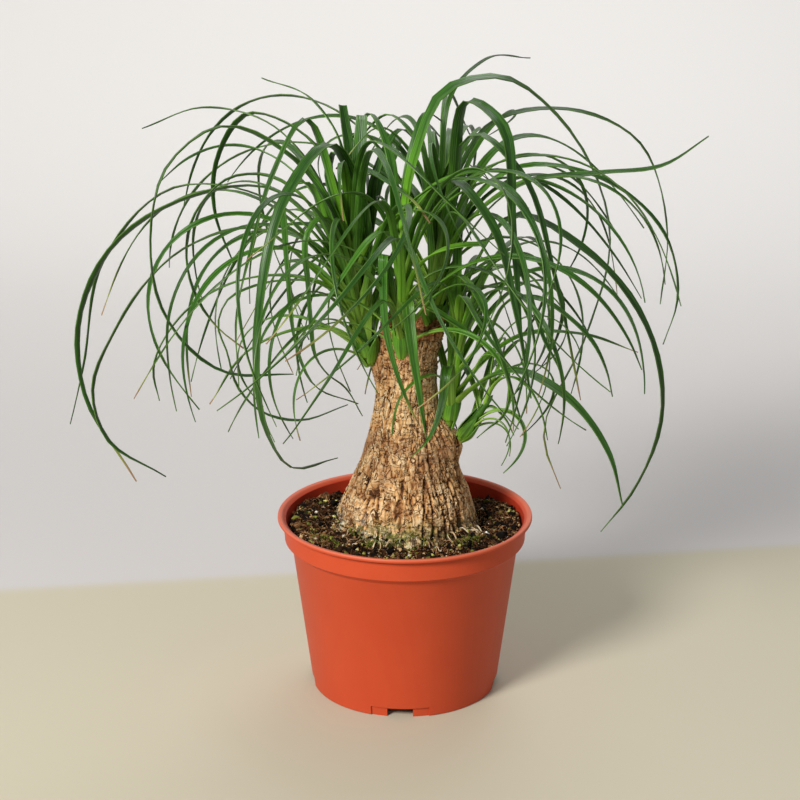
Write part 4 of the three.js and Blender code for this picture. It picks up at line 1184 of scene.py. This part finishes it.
def make_soil(material):
    """The soil as one body: rows for its hidden underside and wall, then its top, then the trunk's hole."""
    bm = bmesh.new()
    verts, around, share = grid(bm, SOIL_COLUMNS, SOIL_ROWS)
    row = np.rint(share * SOIL_ROWS)
    floor, ledge = FLOOR_TOP + 0.5, BODY_TOP_RADIUS - POT_WALL - 0.4
    outline = [
        (0, 0, floor), (2, wall_radius(FLOOR_TOP) - POT_WALL - 2.6, floor), (4, ledge, LEDGE_FOOT_Z + 0.6),
        (6, SOIL_RIM, COLLAR_FOOT_Z + 0.4), (RIM_ROW, SOIL_RIM, HOLE_FLOOR),
        (HOLE_ROW, HOLE_RADIUS, HOLE_FLOOR), (SOIL_ROWS, 0, HOLE_FLOOR),
    ]
    stops, radii, heights = zip(*outline)
    radius, z = np.interp(row, stops, radii), np.interp(row, stops, heights)
    bearing = around * 2 * math.pi
    x, y = radius * np.cos(bearing), radius * np.sin(bearing)
    flat = np.stack([x, y, np.zeros_like(x)], axis=1)
    top = soil_height(x, y) + 1.2 * fractal(flat, 7) + 0.8 * fractal(flat, 2.2)
    z = np.where((row >= RIM_ROW) & (row <= HOLE_ROW), np.maximum(top, COLLAR_FOOT_Z + 0.8), z)
    move_to(verts, np.stack([x, y, z], axis=1))
    close_round(bm)
    return piece("soil_bed", bm, material, ["soil"])


def soil_spots(seed, count, crowd=0.5):
    """Random places on the soil's top, as (x, y, z, random number). More crowd brings them to the trunk."""
    random = random_from(seed)
    spots = []
    for _ in range(count):
        x, y, _ = level(360 * random()) * (TRUNK_EDGE + (SOIL_RIM - 0.5 - TRUNK_EDGE) * random() ** crowd)
        spots.append((x, y, float(ground_height(x, y)), random()))
    return spots


def patchy_tone(x, y, seed, draw, contrast):
    """A tone from dark to pale that is alike within a patch of the soil."""
    patch = 0.5 + noise.noise(Vector((x, y, seed)) / PATCH_SIZE)
    return min(1, draw * (0.4 + contrast * patch))


def make_crumbs(name, material, seed, count, sizes, subdivisions=1, sink=0.3, tones=(0, 1), crowd=0.5):
    """Loose grains on the soil's top, each turned and dented its own way."""
    flat = 0.75
    bm = bmesh.new()
    bmesh.ops.create_icosphere(bm, subdivisions=subdivisions, radius=0.5)
    shape, ball = pattern(bm)
    random = random_from(seed + 1)
    copies = []
    for x, y, z, draw in soil_spots(seed, count, crowd):
        size = sizes[0] + (sizes[1] - sizes[0]) * draw ** 3.5
        shift = Vector((x, y, z))
        dents = [noise.fractal(Vector(spot) * 3.4 + shift, 0.8, 2.2, 2) for spot in ball.tolist()]
        dents = np.clip(1.15 * np.array(dents), -0.6, 0.9)
        stretch = np.array([0.6 + 0.9 * random(), 0.6 + 0.9 * random(), flat * (0.6 + 0.7 * random())])
        turn = Matrix.Rotation(6.3 * random(), 3, "Z") @ Matrix.Rotation(1.6 * (random() - 0.5), 3, "X")
        spots = ball * (1 + dents)[:, None] * stretch * size @ np.array(turn).T
        lift = size * (0.5 - sink) * flat + 0.7 * random()
        tone = tones[0] + (tones[1] - tones[0]) * patchy_tone(x, y, seed, random() ** 1.6, 1.4)
        copies.append((spots + (x, y, z + lift), tone))
    return piece_of_copies(name, shape, copies, material, smooth=subdivisions > 1)


class Threads:
    """One piece of many threads: closed tubes pointed at both ends, each bent along its own points."""

    def __init__(self, sides, rings):
        bm = bmesh.new()
        verts, around, up = grid(bm, sides, rings)
        wide = np.minimum(1, 2.2 * rings / 4 * np.minimum(up, 1 - up))
        turn = around * 2 * math.pi
        move_to(verts, np.stack([wide * np.cos(turn), wide * np.sin(turn), up], axis=1))
        close_round(bm)
        self.shape, spots = pattern(bm)
        self.rows = np.rint(spots[:, 2] * rings).astype(int)
        self.sections = spots[:, :2]
        self.copies = []

    def lay(self, points, radius, tone):
        """Adds a thread bent along points: one for its start and one for each ring."""
        points = np.array(points, float)
        ahead = np.gradient(points, axis=0)
        ahead /= np.maximum(np.linalg.norm(ahead, axis=1), 1e-9)[:, None]
        side = np.cross(ahead, [0.13, 0.31, 0.94])
        side /= np.maximum(np.linalg.norm(side, axis=1), 1e-9)[:, None]
        other = np.cross(ahead, side)
        section = side[self.rows] * self.sections[:, :1] + other[self.rows] * self.sections[:, 1:]
        self.copies.append((points[self.rows] + radius * section, tone))

    def finished(self, name, material):
        return piece_of_copies(name, self.shape, self.copies, material)


def make_fibres(material):
    """Coir and root fibres that lie loosely over the soil."""
    steps = 5
    fibres = Threads(3, steps)
    random = random_from(301)
    for x, y, z, _ in soil_spots(seed=300, count=5200):
        heading, bend = 360 * random(), 150 * (random() - 0.5)
        length = 2.5 + 9 * random() ** 2.5
        lift, hook = 1.6 * random(), 1.2 * (random() - 0.5)
        spot = np.array([x, y, z])
        points = []
        for step in range(steps + 1):
            share = step / steps
            points.append(spot + (0, 0, lift * math.sin(math.pi * share) + hook * share + 0.3))
            spot = spot + level(heading + bend * share) * length / steps
            spot[:2] *= min(1, SOIL_RIM / math.hypot(spot[0], spot[1]))
            spot[2] = float(soil_height(spot[0], spot[1]))
        radius = 0.11 + 0.24 * random() ** 3
        fibres.lay(points, radius, patchy_tone(x, y, 0, random() ** 1.3, 1.1))
    return fibres.finished("soil_fibres", material)


# Where moss grows: bearing, spread in degrees, distance from the middle, depth of the patch
MOSS_PATCHES = [(268, 16, 44.5, 6), (212, 12, 62, 6), (318, 10, 56, 7), (236, 9, 45, 5)]
MOSS_CUSHIONS = 120
MOSS_BLADES = 34


def make_moss(material):
    """Short moss blades in cushions: at the front of the trunk's foot, and in two patches farther out."""
    moss = Threads(3, 2)
    random = random_from(401)
    for i in range(MOSS_CUSHIONS):
        middle, spread, reach, depth = MOSS_PATCHES[i % len(MOSS_PATCHES)]
        bearing = middle + spread * (random() + random() - 1) * 1.6
        x, y, _ = level(bearing) * (reach + depth * random())
        radius = 1.5 + 3.4 * random()
        tone = random()
        for _ in range(MOSS_BLADES):
            foot = np.array([x, y, 0]) + level(360 * random()) * radius * math.sqrt(random())
            foot[2] = float(ground_height(foot[0], foot[1])) - 0.3
            lean = level(360 * random()) * (0.2 + 0.9 * random())
            height = 0.8 + 1.6 * random()
            points = [foot, foot + lean * 0.4 + (0, 0, height * 0.6), foot + lean + (0, 0, height)]
            moss.lay(points, 0.3, 0.6 * tone + 0.4 * random())
    return moss.finished("moss_cushions", material)


def make_surface_roots(material):
    """Fine pale roots that leave the trunk's foot and run over the soil in front."""
    count, steps = 26, 9
    roots = Threads(5, steps)
    random = random_from(501)
    for i in range(count):
        bearing = 215 + 125 * i / (count - 1) + 8 * random()
        radius, length = TRUNK_EDGE + random(), 5 + 13 * random()
        turn = 90 * (random() - 0.5)
        spot = level(bearing) * radius
        points = []
        for step in range(steps + 1):
            share = step / steps
            lift = 3.2 * (1 - share) ** 2 + 0.9 * math.sin(step + i)
            points.append((spot[0], spot[1], float(soil_height(spot[0], spot[1])) + lift + 0.4))
            heading = bearing + turn * math.sin(4 * share + i)
            spot = spot + level(heading) * length / steps
        roots.lay(points, 0.28 + 0.3 * random(), random())
    return roots.finished("surface_roots", material)


# Leaves

BLADE_ACROSS = 6
BLADE_STEPS = 36
BLADE_SEED = 100
BLADE_THICKNESS = 0.6
BLADE_FULLNESS = 1.08
SHEATH_REACH = 48
POINT_START = 0.3
LONG_POINT = (1.35, 0.95)  # how suddenly a blade narrows to its tip, and by how much
BLUNT_POINT = (2.4, 0.3)
DRY_TIPS = 0.2  # the share of the leaves whose tips are dry
BRACT_ACROSS = 10
BRACT_STEPS = 12
BRACT_WRAP = 1.15
BRACT_TURN = 137.5
HEART_SIDES = 32


def blade_mesh():
    """A bmesh with the layers that the leaf's finish reads."""
    bm = bmesh.new()
    return bm, [bm.verts.layers.float_vector.new(kind) for kind in ("blade_place", "blade_kind")]


def mark_blade(verts, layers, place, kind):
    """place is (side, distance from the root, share of the length), kind is (tone, dryness, freshness)."""
    for layer, values in zip(layers, (place, kind)):
        mark(verts, layer, values)


def blade_half_width(leaf, distance, share):
    """Half a blade's true width: its root widens into a sheath round the shoot, its tip is a long point."""
    wide = BLADE_FULLNESS + SHOOTS[leaf["shoot"]]["sheath"] * np.exp(-((distance / SHEATH_REACH) ** 2))
    power, narrowing = BLUNT_POINT if leaf["blunt"] else LONG_POINT
    outer = np.maximum(0, (share - POINT_START) / (1 - POINT_START)) ** power
    return leaf["width"] / 2 * wide * (1 - narrowing * outer)


def add_blade(bm, layers, leaf, random):
    """One strap leaf: a channelled sheet bent along the leaf's course."""
    verts, across, up = grid(bm, BLADE_ACROSS, BLADE_STEPS)
    row = stations(leaf, BLADE_STEPS)
    i = np.rint(up * BLADE_STEPS).astype(int)
    side = 1 - 2 * across
    distance, share = row["distance"][i], row["share"][i]
    half = blade_half_width(leaf, distance, share)
    wrap = 0.5 + 0.7 * np.exp(-distance / 34) + 0.16 * np.sin(distance / 31 + 9 * random())
    ripple = 0.22 * np.sin(distance / 7.5 + 6.3 * random()) * side * eased(30, 80, distance)
    angle = side * wrap
    aside = half / wrap * np.sin(angle)
    lift = half / wrap * (1 - np.cos(angle)) - 0.35 * BLADE_DEPTH + ripple
    move_to(verts, row["place"][i] + row["across"][i] * aside[:, None] + row["face"][i] * lift[:, None])
    broad = min(1, leaf["width"] / 6.5)
    tone = random() * broad
    dry = float(random() < DRY_TIPS and not leaf["blunt"])
    fresh = random() ** 1.5 * broad
    mark_blade(verts, layers, (side, distance, share), (tone, dry, fresh))


def add_bract(bm, layers, shoot, i, random):
    """A scale of the bulb: an old leaf's base, wrapped round the shoot with its tip turned out."""
    start = shoot["height"] * (0.005 + 0.036 * i)
    height = shoot["bulb"] * (1.5 + 1.5 * random()) / (0.3 + shoot["sheath"])
    flare = shoot["bulb"] * shoot["sheath"] * (0.2 + 0.7 * random())
    verts, across, up = grid(bm, BRACT_ACROSS, BRACT_STEPS)
    axis = sheath_axis(shoot)
    outward = np.cross(level(shoot["facing"] + BRACT_TURN * i + 90), axis)
    side_way = np.cross(axis, outward)
    reach = start + height * up
    radius = sheath_radius(shoot, reach / shoot["height"]) + 0.4 + flare * up ** 2.2
    side = 1 - 2 * across
    turn = BRACT_WRAP * (1 - up ** 1.7) * side
    spots = np.array(shoot["base"]) + axis * (reach - 0.25 * flare * up ** 3)[:, None]
    spots = spots + outward * (radius * np.cos(turn))[:, None] + side_way * (radius * np.sin(turn))[:, None]
    move_to(verts, spots)
    mark_blade(verts, layers, (side, 22 + 2 * height * up, 0), (random(), 0, 0.3))


def make_shoot(name, leaves, material):
    """A leafy shoot: its bulb of wrapped leaf bases, and every blade that grows from it."""
    shoot = SHOOTS[name]
    random = random_from(shoot["seed"] + BLADE_SEED)
    bm, layers = blade_mesh()
    for i in range(shoot["bracts"]):
        add_bract(bm, layers, shoot, i, random)
    for leaf in leaves:
        add_blade(bm, layers, leaf, random)
    made = piece(f"{name}_blades", bm, material, [f"shoot_{name}"])
    solidify = made.modifiers.new("thickness", "SOLIDIFY")
    solidify.thickness = BLADE_THICKNESS * METRES
    solidify.offset = -1
    weighted = made.modifiers.new("flat_normals", "WEIGHTED_NORMAL")
    weighted.keep_sharp = True
    make_heart(name, shoot, material)


def make_heart(name, shoot, material):
    """The solid heart of a shoot, inside its wrapped leaf bases."""
    bm, layers = blade_mesh()
    side = [(wide * (shoot["bulb"] - 1), up * shoot["height"]) for up, wide in SHEATH_OUTLINE[:-1]]
    spin_profile(bm, [(0, 0), *side, (0, shoot["height"])], HEART_SIDES)
    heights = np.array([vert.co.z for vert in bm.verts])
    # The heart's low tone and little freshness keep it dark green: painted shade for the gaps between the
    # leaf bases.
    mark_blade(bm.verts, layers, (0.5, heights * 1.6 + 12, 0), (0.2, 0, 0.15))
    turn = Vector((0, 0, 1)).rotation_difference(Vector(sheath_axis(shoot))).to_matrix()
    bmesh.ops.rotate(bm, cent=(0, 0, 0), matrix=turn, verts=bm.verts)
    bmesh.ops.translate(bm, vec=shoot["base"], verts=bm.verts)
    return piece(f"{name}_heart", bm, material)


# Setting: lengths in metres, apart from the camera's place

FLOOR_WIDTH = 9
FLOOR_LENGTH = 6.2  # along the table top, the sweep and the wall
FLOOR_FRONT = -2.2
FLAT_LENGTH = 3.2
SWEEP_RADIUS = 1.0
CAMERA_PLACE = (-3.2, -1224.7, 587.0)
CAMERA_PITCH = 17.75
SENSOR_WIDTH = 36
FOCAL_PIXELS = 2000
IMAGE_WIDTH = 800


def make_camera():
    data = bpy.data.cameras.new("camera")
    data.sensor_width = SENSOR_WIDTH
    data.lens = FOCAL_PIXELS / IMAGE_WIDTH * SENSOR_WIDTH
    data.clip_start, data.clip_end = 0.05, 50
    camera = add_object("camera", data)
    camera.location = Vector(CAMERA_PLACE) * METRES
    camera.rotation_euler = ((90 - CAMERA_PITCH) * DEGREE, 0, 0)
    bpy.context.scene.camera = camera


def make_floor():
    """A pale table top, warm near the pot and grey where it sweeps up into a wall; the wall's grey is
    painted darker low down and paler higher up, as painted light falloff.
    """
    bm = bmesh.new()
    verts, across, up = grid(bm, 2, 80)
    past_flat = up * FLOOR_LENGTH - FLAT_LENGTH
    quarter = SWEEP_RADIUS * math.pi / 2
    turn = np.clip(past_flat / quarter, 0, 1) * math.pi / 2
    depth = FLOOR_FRONT + FLAT_LENGTH + np.minimum(past_flat, 0) + SWEEP_RADIUS * np.sin(turn)
    height = SWEEP_RADIUS * (1 - np.cos(turn)) + np.maximum(0, past_flat - quarter)
    move_to(verts, np.stack([(across - 0.5) * FLOOR_WIDTH, depth, height], axis=1))
    floor = add_object("floor", mesh_from(bm, "floor", smooth=True))
    finish = Finish("pale_floor", Roughness=0.6, Specular_IOR_Level=0.2)
    side, back, _ = finish.split(finish.node("ShaderNodeTexCoord", output="Object"))
    # Painted light falloff: the wall's grey is darker near its foot and paler farther up the sweep.
    wall = finish.mix((0.53, 0.515, 0.51), (0.8, 0.79, 0.78), back.ramp(0.2, 1.6))
    beyond_table = (back - side * 0.148).ramp(0.18, 0.2)
    floor.data.materials.append(finish.dress(finish.mix((0.5, 0.465, 0.36), wall, beyond_table)))


def make_light(name, place, aim, size, power, colour=(1, 1, 1)):
    data = bpy.data.lights.new(name, "AREA")
    data.shape = "DISK"
    data.size = size
    data.energy = power
    data.color = colour
    light = add_object(name, data)
    light.location = place
    light.rotation_euler = (Vector(aim) - Vector(place)).to_track_quat("-Z", "Y").to_euler()


def make_setting():
    make_camera()
    make_floor()
    make_light("key", (-1.3, -1.7, 1.5), (0, 0, 0.18), size=0.75, power=80, colour=(1, 0.97, 0.93))
    make_light("fill", (1.8, -1.6, 1.0), (0, 0, 0.2), size=1.6, power=4)
    make_light("back", (0.4, 1.3, 1.9), (0, 0, 0.25), size=1.2, power=14)
    world = bpy.data.worlds.new("studio")
    world.use_nodes = True
    background = world.node_tree.nodes["Background"].inputs
    background["Color"].default_value = (1, 1, 1, 1)
    background["Strength"].default_value = 0.3
    bpy.context.scene.world = world
    bpy.context.scene.view_settings.view_transform = "Standard"


def dress_soil():
    """Everything that lies loose on the soil, and the roots and moss at the trunk's foot."""
    crumbs = bits_finish(
        "soil_crumbs", (0.002, 0.001, 0.0003), (0.005, 0.0025, 0.0008), (0.03, 0.012, 0.004),
        (0.2, 0.095, 0.035), (0.6, 0.4, 0.2),
    )
    perlite = bits_finish(
        "perlite", (0.42, 0.36, 0.25), (0.7, 0.64, 0.52), (0.86, 0.84, 0.78), roughness=0.75
    )
    lime = bits_finish("lime_crumbs", (0.12, 0.13, 0.02), (0.32, 0.32, 0.06), (0.62, 0.58, 0.22))
    coir = bits_finish("coir_fibres", (0.02, 0.008, 0.003), (0.2, 0.075, 0.026), (0.46, 0.26, 0.12))
    moss = bits_finish("moss", (0.03, 0.036, 0.004), (0.14, 0.18, 0.02), (0.42, 0.45, 0.1))
    roots = bits_finish("surface_roots", (0.2, 0.1, 0.05), (0.45, 0.3, 0.16), (0.7, 0.6, 0.42))
    # After the name and finish: the seed, the count, and the smallest and largest size
    make_crumbs("soil_crumbs", crumbs, 101, 4600, (0.7, 2.3), tones=(0, 1.05))
    make_crumbs("soil_lumps", crumbs, 151, 420, (2.2, 6), subdivisions=2, sink=0.5, tones=(0, 0.7))
    make_crumbs("foot_crumbs", crumbs, 171, 1100, (0.8, 2.6), tones=(0, 0.9), crowd=5)
    make_crumbs("perlite_grains", perlite, 201, 110, (0.8, 2.4), subdivisions=2, sink=0.2)
    make_crumbs("lime_crumbs", lime, 251, 420, (0.7, 3.6), sink=0.2)
    make_crumbs("foot_lichen", lime, 271, 260, (0.7, 2.2), crowd=6)
    make_fibres(coir)
    make_moss(moss)
    make_surface_roots(roots)


def make_palm():
    make_pot(pot_finish())
    make_trunk(bark_finish())
    make_soil(soil_finish())
    dress_soil()
    leaf = leaf_finish()
    grown = place_leaves()
    for name in SHOOTS:
        make_shoot(name, [row for row in grown if row["shoot"] == name], leaf)


make_setting()
make_palm()
